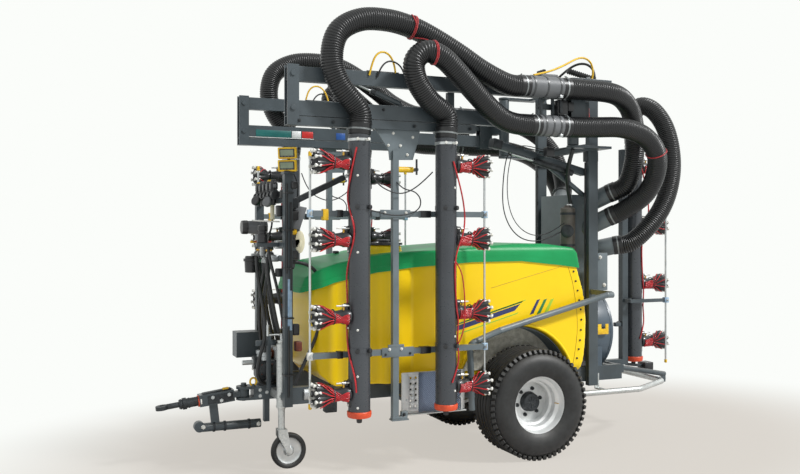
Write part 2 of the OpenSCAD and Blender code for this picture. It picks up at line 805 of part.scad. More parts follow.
module tyre() {
  half = tyre_w / 2;
  bead = rim_half - 8;
  shoulder = wheel_r - 22;
  tread = 66;
  belly = (wheel_r + rim_r) / 2;
  outline = [
    [seat_r, -bead], [rim_r + 8, -bead], [belly - 20, -half], [belly + 20, -half],
    [shoulder - 30, -half + 14], [shoulder, -half + 42], [wheel_r, -half + tread],
    [wheel_r, half - tread], [shoulder, half - 42], [shoulder - 30, half - 14],
    [belly + 20, half], [belly - 20, half], [rim_r + 8, bead],
    [seat_r, bead]
  ];
  hollow = [
    [seat_r - 1, -bead + tyre_wall], [rim_r + 8, -bead + tyre_wall],
    [belly - 20, -half + tyre_wall], [belly + 20, -half + tyre_wall],
    [wheel_r - tyre_wall - 14, -half + tread], [wheel_r - tyre_wall - 14, half - tread],
    [belly + 20, half - tyre_wall], [belly - 20, half - tyre_wall],
    [rim_r + 8, bead - tyre_wall], [seat_r - 1, bead - tyre_wall]
  ];
  grooves = [-70, 0, 70];
  color("#1b1c1e") translate([0, -track / 2, wheel_r]) rotate([90, 0, 0])
    rotate_extrude($fn = 96) difference() {
      polygon(outline);
      polygon(hollow);
      for (g = grooves) translate([wheel_r - 10, g - 6]) square([20, 12]);
    }
}

module rim() {
  inner = -(track / 2 - disc_y);
  color("#c9cdd0") {
    translate([0, -track / 2, wheel_r]) rotate([90, 0, 0]) difference() {
      union() {
        rotate_extrude($fn = 96) polygon([
          [seat_r - 8, -rim_half], [rim_r, -rim_half], [rim_r, -rim_half + 8],
          [seat_r, -rim_half + 8], [seat_r, rim_half - 8], [rim_r, rim_half - 8],
          [rim_r, rim_half], [seat_r - 8, rim_half]
        ]);
        translate([0, 0, inner - 10]) cylinder(r = seat_r - 4, h = 10);
        translate([0, 0, inner - hub_in]) cylinder(r = hub_r, h = hub_in - 5);
        translate([0, 0, inner - 5]) cylinder(r = 42, h = 55);
        for (k = [0:bolt_count - 1]) rotate([0, 0, k * 360 / bolt_count])
          translate([bolt_circle / 2, 0, inner - 5]) cylinder(r = 12, h = 21);
      }
      translate([0, 0, inner - hub_in - 1]) cylinder(r = spindle_d / 2 + run_gap,
        h = hub_in + 37);
    }
  }
}

// ---------------------------------------------------------------- jack and hitch

module jack_tube() {
  outer = leg_r + run_gap + jack_wall;
  color("#b4b9b6") difference() {
    union() {
      translate([jack_x, jack_y, jack_low]) cylinder(r = outer, h = jack_high - jack_low);
      translate([jack_x, jack_y, jack_high]) cylinder(r = outer + 3, h = 14);
      block([jack_x - 30, jack_y, 500], [jack_x + 30, -drawbar_half, 560]);
    }
    translate([jack_x, jack_y, jack_low - 1]) cylinder(r = leg_r + run_gap,
      h = jack_high - jack_low + 1);
    translate([jack_x, jack_y, jack_high - 1]) cylinder(r = 10 + run_gap, h = 20);
  }
}

module jack_leg() {
  color("#c3c8c5") difference() {
    translate([jack_x, jack_y, leg_low]) cylinder(r = leg_r, h = 480);
    translate([jack_x, jack_y, leg_low - 1]) cylinder(r = 12 + run_gap, h = 81);
    translate([jack_x, jack_y, leg_low + 90]) cylinder(r = 14, h = 400);
  }
}

module jack_crank() {
  color("#d5d8d8") {
    translate([jack_x, jack_y, jack_high - 200]) cylinder(r = 10, h = 262);
    bar([jack_x, jack_y, jack_high + 55], [jack_x - 100, jack_y, jack_high + 55], 7);
    translate([jack_x - 100, jack_y, jack_high + 48]) cylinder(r = 10, h = 80);
    bar([jack_x, jack_y, jack_high + 55], [jack_x + 100, jack_y, jack_high + 55], 7);
  }
}

module jockey_fork() {
  z = jockey_d / 2;
  top = leg_low - fit_gap;
  half = jockey_w / 2 + 9;
  color("#b4b9b6") {
    translate([jack_x, jack_y, top - 8]) cylinder(r = 12, h = 86);
    translate([jack_x, jack_y, top - 8]) cylinder(r = leg_r + 8, h = 8);
    for (side = [-1, 1])
      translate([0, jack_y + side * (half + fork_t / 2) + fork_t / 2, 0]) rotate([90, 0, 0])
        linear_extrude(fork_t) polygon([
          [jack_x - 32, top], [jack_x + 34, top], [jack_x + trail + 14, z - 14],
          [jack_x + trail - 14, z - 14], [jack_x - 32, top - 50]
        ]);
    block([jack_x - 32, jack_y - half - fork_t, top - 8], [jack_x + 34, jack_y + half + fork_t,
      top]);
    rod_y(jack_x + trail, jack_y, z, 8, 2 * half + 2 * fork_t + 10);
  }
}

module jockey_wheel() {
  r = jockey_d / 2;
  half = jockey_w / 2;
  color("#26282a") translate([jack_x + trail, jack_y, r]) rotate([90, 0, 0])
    rotate_extrude($fn = 64) polygon([
      [8 + run_gap, -half - 6], [22, -half - 6], [22, -8], [r - 38, -8], [r - 32, -half + 4],
      [r - 10, -half], [r, -half + 12], [r, half - 12], [r - 10, half], [r - 32, half - 4],
      [r - 38, 8], [22, 8], [22, half + 6], [8 + run_gap, half + 6]
    ]);
}

// Frame of the sloping hitch head: its -X runs forward and down from the knuckle
module at_hitch() {
  translate([knuckle_x, 0, knuckle_z]) rotate([0, -hitch_droop, 0]) children();
}

module hitch_head() {
  color("#3b4046") {
    difference() {
      union() {
        translate([knuckle_x, 0, knuckle_z - 29]) cylinder(r = 42, h = 58);
        at_hitch() block([-330, -42, -40], [-76, 42, 44]);
        at_hitch() block([-80, -30, -20], [-20, 30, 20]);
      }
      translate([knuckle_x, 0, knuckle_z - 100]) cylinder(d = hitch_pin_d + 2 * run_gap,
        h = 200);
      at_hitch() rod_x(-331, -230, 0, 0, 22 + run_gap);
    }
    // Lower link below the head
    at_hitch() block([-260, -12, -190], [-200, 12, -40]);
    rod_x(knuckle_x - 330, knuckle_x + 126, 0, 290, 32);
    rod_y(knuckle_x - 325, 0, 300, 38, 60);
  }
}

module hitch_eye() {
  color("#33383c") at_hitch() difference() {
    union() {
      rod_x(-332, -235, 0, 0, 22);
      rod_x(-470, -332, 0, 0, 34);
      rod_x(-446, -420, 0, 0, 42);
      rod_x(-eye_reach + 20, -460, 0, 0, 20);
      translate([-eye_reach, 0, -eye_t / 2]) cylinder(r = eye_r, h = eye_t);
    }
    translate([-eye_reach, 0, -60]) cylinder(d = eye_bore, h = 120);
  }
}

// ---------------------------------------------------------------- pump and controls

module pump() {
  color("#7a3326") difference() {
    union() {
      block([pump_x, -pump_half, pump_low], [pump_x + pump_len, pump_half, pump_low + 150]);
      for (y = [-70, 70]) translate([pump_x + 60, y, pump_low + 150]) cylinder(r = 45, h = 50);
      for (y = [-70, 70]) translate([pump_x + 150, y, pump_low + 150]) cylinder(r = 35, h = 90);
      rod_x(pump_x - 20, pump_x, 0, pump_z, 50);
      block([pump_x + 20, -50, drawbar_top], [pump_x + 60, 50, pump_low]);
      block([pump_x + 110, -50, drawbar_top], [pump_x + 150, 50, pump_low]);
    }
    rod_x(pump_x - 21, pump_x + 160, 0, pump_z, 25 + run_gap);
  }
}

module pump_shaft() {
  color("#c0c4c6") {
    rod_x(pump_x - 24, pump_x + 155, 0, pump_z, 25);
    rod_x(pump_x - 24 - shaft_len, pump_x - 24, 0, pump_z, pto_d / 2);
  }
}

module control_stand() {
  x = rail_front - 20 - 30;
  color("#2f3a42") {
    box_tube_z(rail_bottom, 2120, x, -420, 60, 60, 4);
    box_tube_z(rail_bottom, 1960, x, 420, 60, 60, 4);
    both_sides() block([x - 20, -390, rail_bottom + 30], [x + 20, -rail_in, rail_bottom + 80]);
    for (z = [1500, 1920]) block([x - 20, -390, z], [x + 20, 390, z + 40]);
    block([x - 40, -480, 2120], [x + 40, -380, 2130]);
  }
  // Document box in front of the stand
  color("#22262a") block([x - 240, 150, 760], [x - 60, 300, 950]);
  color("#22262a") block([x - 65, 200, rail_bottom + 20], [x - 20, 250, 940]);
  color("#22262a") block([x - 25, 200, rail_bottom + 20], [rail_front - 20, 250, 560]);
}

module valve_manifold() {
  x = rail_front - 70;
  color("#3c4145") {
    // Pressure manifold with its section valves, on two saddles
    rod_y(x - 30, 0, 1980, 26, 560);
    for (y = [-220:110:220]) {
      translate([x - 30, y, 2000]) cylinder(r = 24, h = 90);
      translate([x - 30, y, 1900]) cylinder(r = 17, h = 60);
    }
    for (y = [-165, 165]) block([x - 30, y - 15, 1940], [x, y + 15, 1990]);
    // Agitator manifold with its valves
    rod_y(x - 34, 60, 1540, 30, 420);
    for (y = [-100:100:200]) translate([x - 34, y, 1560]) cylinder(r = 26, h = 110);
    for (y = [-50, 150]) block([x - 34, y - 15, 1515], [x, y + 15, 1535]);
    // Pressure filter and suction filter on their arms
    rod_x(x - 230, x - 60, -60, 1720, 60);
    block([x - 120, -80, 1530], [x - 80, -40, 1670]);
    block([x - 120, -80, 1530], [x - 30, -40, 1550]);
    translate([x - 130, 160, 1400]) cylinder(r = 55, h = 130);
    block([x - 130, 140, 1515], [x - 30, 180, 1550]);
    // Regulator on the near mast
    translate([x - 160, -300, 1635]) cylinder(r = 40, h = 125);
    block([x - 180, -320, 1600], [x - 20, -280, 1640]);
    block([x - 40, -440, 1600], [x - 10, -280, 1640]);
  }
}

module meters() {
  x = rail_front - 50;
  color("#e0c020") for (z = [2140, 2240])
    block([x - 60, -510, z], [x + 50, -380, z + 92]);
  color("#20262a") block([x - 20, -460, 2130], [x + 20, -420, 2140]);
}

module front_hoses() {
  color("#17181a") translate([rail_front, 0, 0])
    for (route = front_bundle) thin_hose(route, thin_hose_r);
}

// ---------------------------------------------------------------- ducts and heads

// Upright air duct with a cap below and a clamp ring on top
module duct(x, y, low, high) {
  color("#55595c") difference() {
    union() {
      translate([x, y, low]) cylinder(r = duct_r, h = high - low);
      translate([x, y, low]) cylinder(r = duct_r + 5, h = 18);
      translate([x, y, low - 24]) cylinder(r = 16, h = 24);
      translate([x, y, high - 34]) cylinder(r = duct_r + 3, h = 14);
    }
    translate([x, y, low + duct_wall]) cylinder(r = duct_r - duct_wall, h = high - low);
  }
}

// Spray head at a duct, pointing along +X
module head() {
  flare = head_len - 100;
  collar = duct_r + 10;
  difference() {
    union() {
      difference() {
        rotate([0, 90, 0]) rotate_extrude() polygon([
          [0, duct_r - 10], [42, duct_r - 10], [42, collar], [53, collar],
          [53, collar + 14], [42, collar + 14], [42, flare - 70], [60, flare],
          [head_r - 12, head_len - rim_t], [head_r, head_len - rim_t], [head_r, head_len],
          [0, head_len]
        ]);
        rotate([0, 90, 0]) rotate_extrude() polygon([
          [0, duct_r - 20], [38, duct_r - 20], [38, flare - 68], [56, flare + 2],
          [head_r - 16, head_len - rim_t + 2], [head_r - 16, head_len - 10],
          [0, head_len - 10]
        ]);
      }
      for (a = [0:60:300]) rotate([a, 0, 0])
        rod_x(head_len - 2, head_len + stub_len, 0, head_r - 22, 15);
    }
    for (a = [0:60:300]) rotate([a, 0, 0])
      rod_x(head_len - 20, head_len + 30, 0, head_r - 22, 10);
    translate([0, 0, -100]) cylinder(r = duct_r, h = 200);
  }
  // Valve above the neck
  block([duct_r + 6, -14, 38], [duct_r + 34, 14, 84]);
  rod_x(duct_r + 34, duct_r + 58, 0, 70, 8);
}

// Hoses from a head's valve to its rim
module head_lines() {
  from = duct_r + 25;
  to = head_len - rim_t - 1.2;
  for (a = [0:60:300])
    bar([from, 47.5 * cos(a), 47.5 * sin(a)],
      [to, (head_r - 6) * cos(a), (head_r - 6) * sin(a)], 5);
}

module heads_at(x, y, zs, turn) {
  color("#1d1e20") for (z = zs) translate([x, y, z]) rotate([0, 0, turn]) head();
}

module lines_at(x, y, zs, turn, side) {
  color("#a6202a") {
    for (z = zs) translate([x, y, z]) rotate([0, 0, turn]) head_lines();
    translate([x, y + side * (duct_r + 6), zs[0] - 40])
      cylinder(r = 6, h = zs[len(zs) - 1] - zs[0] + 160);
  }
}

module tail_carrier() {
  post = tail_duct_reach - duct_r - 35;
  color("#2f3a42") {
    block([rail_rear, -rail_out, rail_top - 70], [rail_rear + 20, rail_out, rail_top - 10]);
    block([rail_rear + 20, -30, rail_top - 70], [post + 30, 30, rail_top - 20]);
    box_tube_z(rail_top - 20, 2440, post, 0, 60, 60, 4);
    for (z = [1080, 2100]) difference() {
      block([post + 30, -50, z], [tail_duct_reach, 50, z + 40]);
      translate([tail_duct_reach, 0, z - 1]) cylinder(r = duct_r, h = 42);
    }
    // Arm that holds the deflector rod
    block([post - 20, -130, 1085], [post + 20, -25, 1115]);
    block([post - 20, -130, 1085], [1720, -110, 1115]);
    block([1700, -134, 1085], [1740, -106, 1115]);
    // Sloping tail bar with its shackle
    bar([rail_rear + 10, -200, rail_top - 40], [1640, -200, 456], 22);
    block([1600, -215, 390], [1640, -185, 470]);
  }
  color("#c6cacb") translate([1720, -120, tail_bottom - 20]) cylinder(d = rod_d, h = 1780);
}

module tail_hose() {
  color("#141516") ribbed_hose(tail_route);
}

// ---------------------------------------------------------------- arms, near side

module turret() {
  top = upper_z + beam_h / 2 + 20;
  low = lower_z - beam_h / 2 - 20;
  web_x = pivot_x + beam_h / 2 + 16;
  color("#39444c") {
    difference() {
      union() {
        translate([turret_x, -turret_y, turret_low]) cylinder(r = turret_r,
          h = turret_high - turret_low);
        block([web_x, -beam_y, 2600], [turret_x + 20, -turret_y, 2710]);
      }
      translate([turret_x, -turret_y, turret_low - 1]) cylinder(
        r = turret_pin_d / 2 + run_gap, h = turret_high - turret_low + 2);
    }
    block([web_x, -beam_y - cheek_in - cheek_t, low],
      [web_x + 12, -beam_y + cheek_in + cheek_t, top]);
    for (y = [-beam_y - cheek_in - cheek_t, -beam_y + cheek_in])
      block([pivot_x - 45, y, low], [web_x, y + cheek_t, top]);
    for (z = [upper_z, lower_z])
      rod_y(pivot_x, -beam_y, z, beam_pin_d / 2, 2 * cheek_in + 2 * cheek_t + 10);
    // Carriers that hold the couplings
    for (c = [[0, coupling_a_z], [20, coupling_b_z]])
      block([c[0], -beam_y - 20, (upper_z + lower_z) / 2 - 20],
        [c[0] + 40, -beam_y + 20, (upper_z + lower_z) / 2 + 20]);
    block([0, -beam_y - 20, (upper_z + lower_z) / 2 - 20],
      [web_x, -beam_y + 20, (upper_z + lower_z) / 2 + 20]);
    for (x = [0, 100]) {
      difference() {
        block([x, -coupling_y + hose_d / 2 - 12, coupling_b_z],
          [x + 14, -beam_y - cheek_in - 4, coupling_a_z]);
        for (z = [coupling_a_z, coupling_b_z]) rod_x(x - 1, x + 15, -coupling_y, z, hose_d / 2);
      }
      block([x, -coupling_y + hose_d / 2 - 12, (upper_z + lower_z) / 2 - 10],
        [x + 14, -beam_y + 20, (upper_z + lower_z) / 2 + 10]);
    }
  }
}

// Beam from the turret to the front link, hinged on its rear pin
module beam(z) {
  difference() {
    union() {
      box_tube_x(link_x - 25, pivot_x - 40, -beam_y, z, beam_w, beam_h, beam_wall);
      block([pivot_x - 44, -beam_y - beam_w / 2, z - beam_h / 2],
        [pivot_x, -beam_y + beam_w / 2, z + beam_h / 2]);
      rod_y(pivot_x, -beam_y, z, beam_h / 2, beam_w);
    }
    rod_y(pivot_x, -beam_y, z, beam_pin_d / 2 + run_gap, beam_w + 20);
  }
}

module upper_beam() {
  color("#39444c") beam(upper_z);
}

module lower_beam() {
  top = lower_z + beam_h / 2;
  color("#39444c") {
    beam(lower_z);
    block([-750, -beam_y - 20, top], [-700, -beam_y + 20, upper_z - beam_h / 2 - 8]);
  }
  color("#2a2d30") {
    bar([-1120, -beam_y, top + 24], [-1320, -beam_y, top + 98], 20);
    block([-1130, -beam_y - 10, top], [-1100, -beam_y + 10, top + 24]);
  }
}

// Front link of the arm with the rail that carries the boom
module arm_rail() {
  color("#39444c") {
    box_tube_x(link_x - 40, rail_end, -beam_y, slide_z, 2 * cheek_in, slide_h, 4);
    for (y = [-beam_y - cheek_in - cheek_t, -beam_y + cheek_in])
      block([link_x - 40, y, slide_z - slide_h / 2], [link_x + 40, y + cheek_t,
        upper_z + beam_h / 2 + 10]);
    for (z = [upper_z, lower_z]) {
      rod_y(link_x, -beam_y - cheek_in - cheek_t - 5, z, 18, 10);
      rod_y(link_x, -beam_y + cheek_in + cheek_t + 5, z, 18, 10);
    }
  }
}

module boom() {
  rail_under = slide_z - slide_h / 2;
  color("#3f4a52") {
    // Gusset that hangs from the rail
    translate([0, -beam_y + 6, 0]) rotate([90, 0, 0]) linear_extrude(12)
      polygon([[-1299, rail_under], [-965, rail_under], [-981, 2348], [-1019, 2220],
        [-1195, 2214], [-1203, 2284]]);
    difference() {
      box_tube_z(bar_low, bar_high, bar_x, -bar_y, centre_bar, centre_bar, 4);
      block([bar_x - 20, -beam_y - 6, 2200], [bar_x + 20, -beam_y + 6, bar_high + 1]);
    }
    for (z = cross_zs) difference() {
      union() {
        block([front_rod_x + 12, -bar_y - crossbar / 2, z - crossbar / 2],
          [bar_x - centre_bar / 2, -bar_y + crossbar / 2, z + crossbar / 2]);
        block([bar_x + centre_bar / 2, -bar_y - crossbar / 2, z - crossbar / 2],
          [rear_rod_x - 12, -bar_y + crossbar / 2, z + crossbar / 2]);
        for (x = [front_rod_x, rear_rod_x])
          block([x - 14, -bar_y - 14, z - 20], [x + 14, -bar_y + 14, z + 20]);
        for (x = [front_duct_x, rear_duct_x])
          block([x - 45, -boom_y + 20, z - 18], [x + 45, -bar_y - crossbar / 2, z + 18]);
      }
      for (x = [front_rod_x, rear_rod_x])
        translate([x, -bar_y, z - 60]) cylinder(r = rod_d / 2 + run_gap, h = 120);
      for (x = [front_duct_x, rear_duct_x])
        translate([x, -boom_y, z - 60]) cylinder(r = duct_r, h = 120);
    }
    // Foot and handle of the centre bar
    block([bar_x - 30, -bar_y - 30, bar_low - 10], [bar_x + 95, -bar_y + 30, bar_low]);
    bar([bar_x + 30, -bar_y, 2150], [bar_x + 150, -bar_y, 2150], 8);
    bar([bar_x + 150, -bar_y, 2150], [bar_x + 150, -bar_y - 45, 2150], 13);
  }
}

module rods() {
  color("#cfd2d0") for (x = [front_rod_x, rear_rod_x])
    translate([x, -bar_y, rod_low]) cylinder(d = rod_d, h = rod_high - rod_low);
}

module couplings() {
  for (c = [[coupling_a, coupling_a_z], [coupling_b, coupling_b_z]])
    color("#7d7f7e") translate([c[0][0], -coupling_y, c[1]]) rotate([0, 90, 0]) difference() {
      cylinder(d = hose_d, h = c[0][1] - c[0][0]);
      translate([0, 0, -1]) cylinder(d = hose_bore + 8, h = c[0][1] - c[0][0] + 2);
    }
}

module arm_front_hoses() {
  color("#141516") {
    ribbed_hose(front_route_a);
    ribbed_hose(front_route_b);
  }
}

module arm_rear_hoses(route_a, route_b) {
  color("#141516") {
    ribbed_hose(route_a);
    ribbed_hose(route_b);
  }
}

module boom_heads() {
  heads_at(front_duct_x, -boom_y, head_zs, 180);
  heads_at(rear_duct_x, -boom_y, head_zs, 0);
}

module boom_lines() {
  lines_at(front_duct_x, -boom_y, head_zs, 180, -1);
  lines_at(rear_duct_x, -boom_y, head_zs, 0, -1);
}

// ---------------------------------------------------------------- drawing

on_axle() chassis_frame();
on_axle() axle();
on_axle() tank();
on_axle() tank_hood();
on_axle() filler_lid();
on_axle() gantry();
on_axle() fan_housing();
on_axle() fan_rotor();
on_axle() air_tower();
on_axle() rear_hoop();
on_axle() wheel_guards();
on_axle() step();
on_axle() tyre();  // near_tyre
on_axle() rim();  // near_rim
on_axle() far_side() tyre();  // far_tyre
on_axle() far_side() rim();  // far_rim
on_axle() jack_tube();
on_axle() jack_leg();
on_axle() jack_crank();
on_axle() jockey_fork();
on_axle() jockey_wheel();
on_axle() hitch_head();
on_axle() hitch_eye();
on_axle() pump();
on_axle() pump_shaft();
on_axle() control_stand();
on_axle() valve_manifold();
on_axle() meters();
on_axle() front_hoses();
on_axle() tail_carrier();
on_axle() duct(tail_duct_reach, 0, tail_bottom, tail_top);  // tail_duct
on_axle() heads_at(tail_duct_reach, 0, tail_zs, 0);  // tail_heads
on_axle() lines_at(tail_duct_reach, 0, tail_zs, 0, -1);  // tail_feed_lines
on_axle() tail_hose();
on_axle() turret();  // near_turret
on_axle() upper_beam();  // near_upper_beam
on_axle() lower_beam();  // near_lower_beam
on_axle() arm_rail();  // near_rail
on_axle() boom();  // near_boom
on_axle() duct(front_duct_x, -boom_y, duct_bottom, duct_top);  // near_front_duct
on_axle() duct(rear_duct_x, -boom_y, duct_bottom, duct_top);  // near_rear_duct
on_axle() boom_heads();  // near_heads
on_axle() boom_lines();  // near_feed_lines
on_axle() rods();  // near_rods
on_axle() couplings();  // near_couplings
on_axle() arm_front_hoses();  // near_front_hoses
on_axle() arm_rear_hoses(rear_route_a, rear_route_b);  // near_rear_hoses
on_axle() far_side() turret();  // far_turret
on_axle() far_side() upper_beam();  // far_upper_beam
on_axle() far_side() lower_beam();  // far_lower_beam
on_axle() far_side() arm_rail();  // far_rail
on_axle() far_side() boom();  // far_boom
on_axle() far_side() duct(front_duct_x, -boom_y, duct_bottom, duct_top);  // far_front_duct
on_axle() far_side() duct(rear_duct_x, -boom_y, duct_bottom, duct_top);  // far_rear_duct
on_axle() far_side() boom_heads();  // far_heads
on_axle() far_side() boom_lines();  // far_feed_lines
on_axle() far_side() rods();  // far_rods
on_axle() far_side() couplings();  // far_couplings
on_axle() far_side() arm_front_hoses();  // far_front_hoses
on_axle() far_side() arm_rear_hoses(far_route_a, far_route_b);  // far_rear_hoses
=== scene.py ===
import math

import bpy
import bmesh
from mathutils import Matrix, Vector
from mathutils.bvhtree import BVHTree


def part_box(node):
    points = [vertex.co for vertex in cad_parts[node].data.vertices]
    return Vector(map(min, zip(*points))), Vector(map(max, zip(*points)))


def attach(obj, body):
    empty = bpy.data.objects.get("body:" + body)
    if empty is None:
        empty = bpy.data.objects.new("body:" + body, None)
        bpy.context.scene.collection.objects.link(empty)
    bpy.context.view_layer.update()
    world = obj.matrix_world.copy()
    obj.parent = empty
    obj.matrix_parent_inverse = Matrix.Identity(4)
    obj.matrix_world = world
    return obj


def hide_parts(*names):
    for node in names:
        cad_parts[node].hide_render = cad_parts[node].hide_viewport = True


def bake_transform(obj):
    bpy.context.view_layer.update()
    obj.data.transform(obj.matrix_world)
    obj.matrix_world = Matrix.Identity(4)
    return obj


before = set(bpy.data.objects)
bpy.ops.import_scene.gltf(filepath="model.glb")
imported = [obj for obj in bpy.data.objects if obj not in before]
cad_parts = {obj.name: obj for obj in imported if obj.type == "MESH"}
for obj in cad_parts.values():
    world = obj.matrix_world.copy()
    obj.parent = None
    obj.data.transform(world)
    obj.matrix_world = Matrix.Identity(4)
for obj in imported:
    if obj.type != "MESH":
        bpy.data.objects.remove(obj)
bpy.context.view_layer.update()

# ---------------------------------------------------------------- places taken from the frame

TYRE_LOW, TYRE_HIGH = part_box("near_tyre")
AXLE = (TYRE_LOW.x + TYRE_HIGH.x) / 2
WHEEL_Y = -(TYRE_LOW.y + TYRE_HIGH.y) / 2
WHEEL_R = (TYRE_HIGH.z - TYRE_LOW.z) / 2


def spot(x, y, z):
    """A place given from the axle's middle on the ground, in metres."""
    return Vector((AXLE + x, y, z))


def spots(*places):
    """Places given from the axle's middle on the ground, in metres."""
    return [spot(*p) for p in places]


def middle(node):
    """Centre of a node's box."""
    low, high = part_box(node)
    return (low + high) / 2


DUCT_R = 0.075
FRONT_DUCT = middle("near_rods").x - AXLE - 0.351
REAR_DUCT = FRONT_DUCT + 0.65
DUCT_Y = 0.85
DUCT_LOW = 0.47
DUCT_HIGH = 2.37
TAIL_X = 1.46
TAIL_LOW = 0.565
TAIL_HIGH = 2.5
HEAD_ZS = [0.626 + 0.518 * k for k in range(4)]
TAIL_ZS = [0.728 + 0.518 * k for k in range(4)]
HOSE_R = 0.078
SIDES = (("near", -1), ("far", 1))

# ---------------------------------------------------------------- camera, floor and light

EYE = spot(-3.476, -6.383, 1.725)
LOOK = Vector((0.3859, 0.9225, 0.0))
FOCAL_SHARE = 870 / 800
HORIZON_SHIFT = -7 / 800


def into_scene(thing):
    """Puts an object into the scene."""
    bpy.context.scene.collection.objects.link(thing)


camera_data = bpy.data.cameras.new("camera")
camera_data.lens = camera_data.sensor_width * FOCAL_SHARE
camera_data.shift_y = HORIZON_SHIFT
camera = bpy.data.objects.new("camera", camera_data)
camera.location = EYE
camera.rotation_euler = LOOK.to_track_quat("-Z", "Y").to_euler()
into_scene(camera)
bpy.context.scene.camera = camera
bpy.context.scene.view_settings.view_transform = "Standard"


def linear(code):
    """Linear colour of an sRGB hex code such as "#3a4148"."""
    parts = [int(code[i:i + 2], 16) / 255 for i in (1, 3, 5)]
    return [p / 12.92 if p <= 0.04045 else ((p + 0.055) / 1.055) ** 2.4 for p in parts] + [1.0]


def add(tree, kind, links, **settings):
    """Adds a node: settings are its properties, links its inputs, as values or as sockets."""
    made = tree.nodes.new("ShaderNode" + kind)
    for key, value in settings.items():
        setattr(made, key, value)
    for key, value in links.items():
        if isinstance(value, bpy.types.NodeSocket):
            tree.links.new(value, made.inputs[key])
        else:
            made.inputs[key].default_value = value
    return made


def sun(name, azimuth, height, strength, spread):
    """A lamp that shines from that azimuth (0 from -Y, 90 from +X) and height, in degrees."""
    a, h = math.radians(azimuth), math.radians(height)
    back = Vector((math.sin(a) * math.cos(h), -math.cos(a) * math.cos(h), math.sin(h)))
    data = bpy.data.lights.new(name, "SUN")
    data.energy = strength
    data.angle = math.radians(spread)
    lamp = bpy.data.objects.new(name, data)
    lamp.rotation_euler = back.to_track_quat("Z", "Y").to_euler()
    into_scene(lamp)


def white_studio():
    """A soft even light from all round, and white where the eye or a mirror looks past."""
    world = bpy.data.worlds.new("studio")
    world.use_nodes = True
    tree = world.node_tree
    tree.nodes.clear()
    path = add(tree, "LightPath", {})
    seen = add(tree, "Math", {0: path.outputs["Is Camera Ray"], 1: path.outputs["Is Glossy Ray"]},
        operation="MAXIMUM")
    soft = add(tree, "Background", {"Color": linear("#e9eef4"), "Strength": 0.52})
    white = add(tree, "Background", {"Color": linear(WHITE), "Strength": 1.0})
    either = add(tree, "MixShader", {0: seen.outputs[0], 1: soft.outputs[0], 2: white.outputs[0]})
    add(tree, "OutputWorld", {"Surface": either.outputs[0]})
    return world


def paper_floor():
    """Pale grey-beige paper under the machine, which fades to the white of the backdrop."""
    bpy.ops.mesh.primitive_circle_add(vertices=64, radius=60, fill_type="NGON",
        location=spot(0, 0, 0))
    floor = bpy.context.active_object
    floor.name = "floor"
    paper = bpy.data.materials.new("paper_floor")
    paper.use_nodes = True
    tree = paper.node_tree
    tree.nodes.clear()
    coords = add(tree, "TexCoord", {})
    stretch = add(tree, "Mapping", {"Vector": coords.outputs["Object"], "Scale": (0.72, 1.0, 1.0)})
    reach = add(tree, "VectorMath", {0: stretch.outputs[0]}, operation="LENGTH")
    fade = add(tree, "MapRange", {"Value": reach.outputs["Value"], "From Min": 1.7,
            "From Max": 3.4}, interpolation_type="SMOOTHSTEP")
    card = add(tree, "BsdfDiffuse", {"Color": linear("#dbd5cf")})
    # Seen by the eye, its shadows are lifted to a pale grey-beige
    lift = add(tree, "Emission", {"Color": linear("#dad5cd"), "Strength": 1.0})
    path = add(tree, "LightPath", {})
    lifted = add(tree, "Math", {0: path.outputs["Is Camera Ray"], 1: 0.8}, operation="MULTIPLY")
    shown = add(tree, "MixShader", {0: lifted.outputs[0], 1: card.outputs[0], 2: lift.outputs[0]})
    glow = add(tree, "Emission", {"Color": linear(WHITE), "Strength": 1.0})
    faded = add(tree, "MixShader", {0: fade.outputs[0], 1: shown.outputs[0], 2: glow.outputs[0]})
    add(tree, "OutputMaterial", {"Surface": faded.outputs[0]})
    floor.data.materials.append(paper)
    return floor


WHITE = "#fbfdfa"
sun("key_light", 44, 42, 3.1, 9)
sun("fill_light", -70, 30, 0.2, 60)
bpy.context.scene.world = white_studio()
floor = paper_floor()

# ---------------------------------------------------------------- finishes


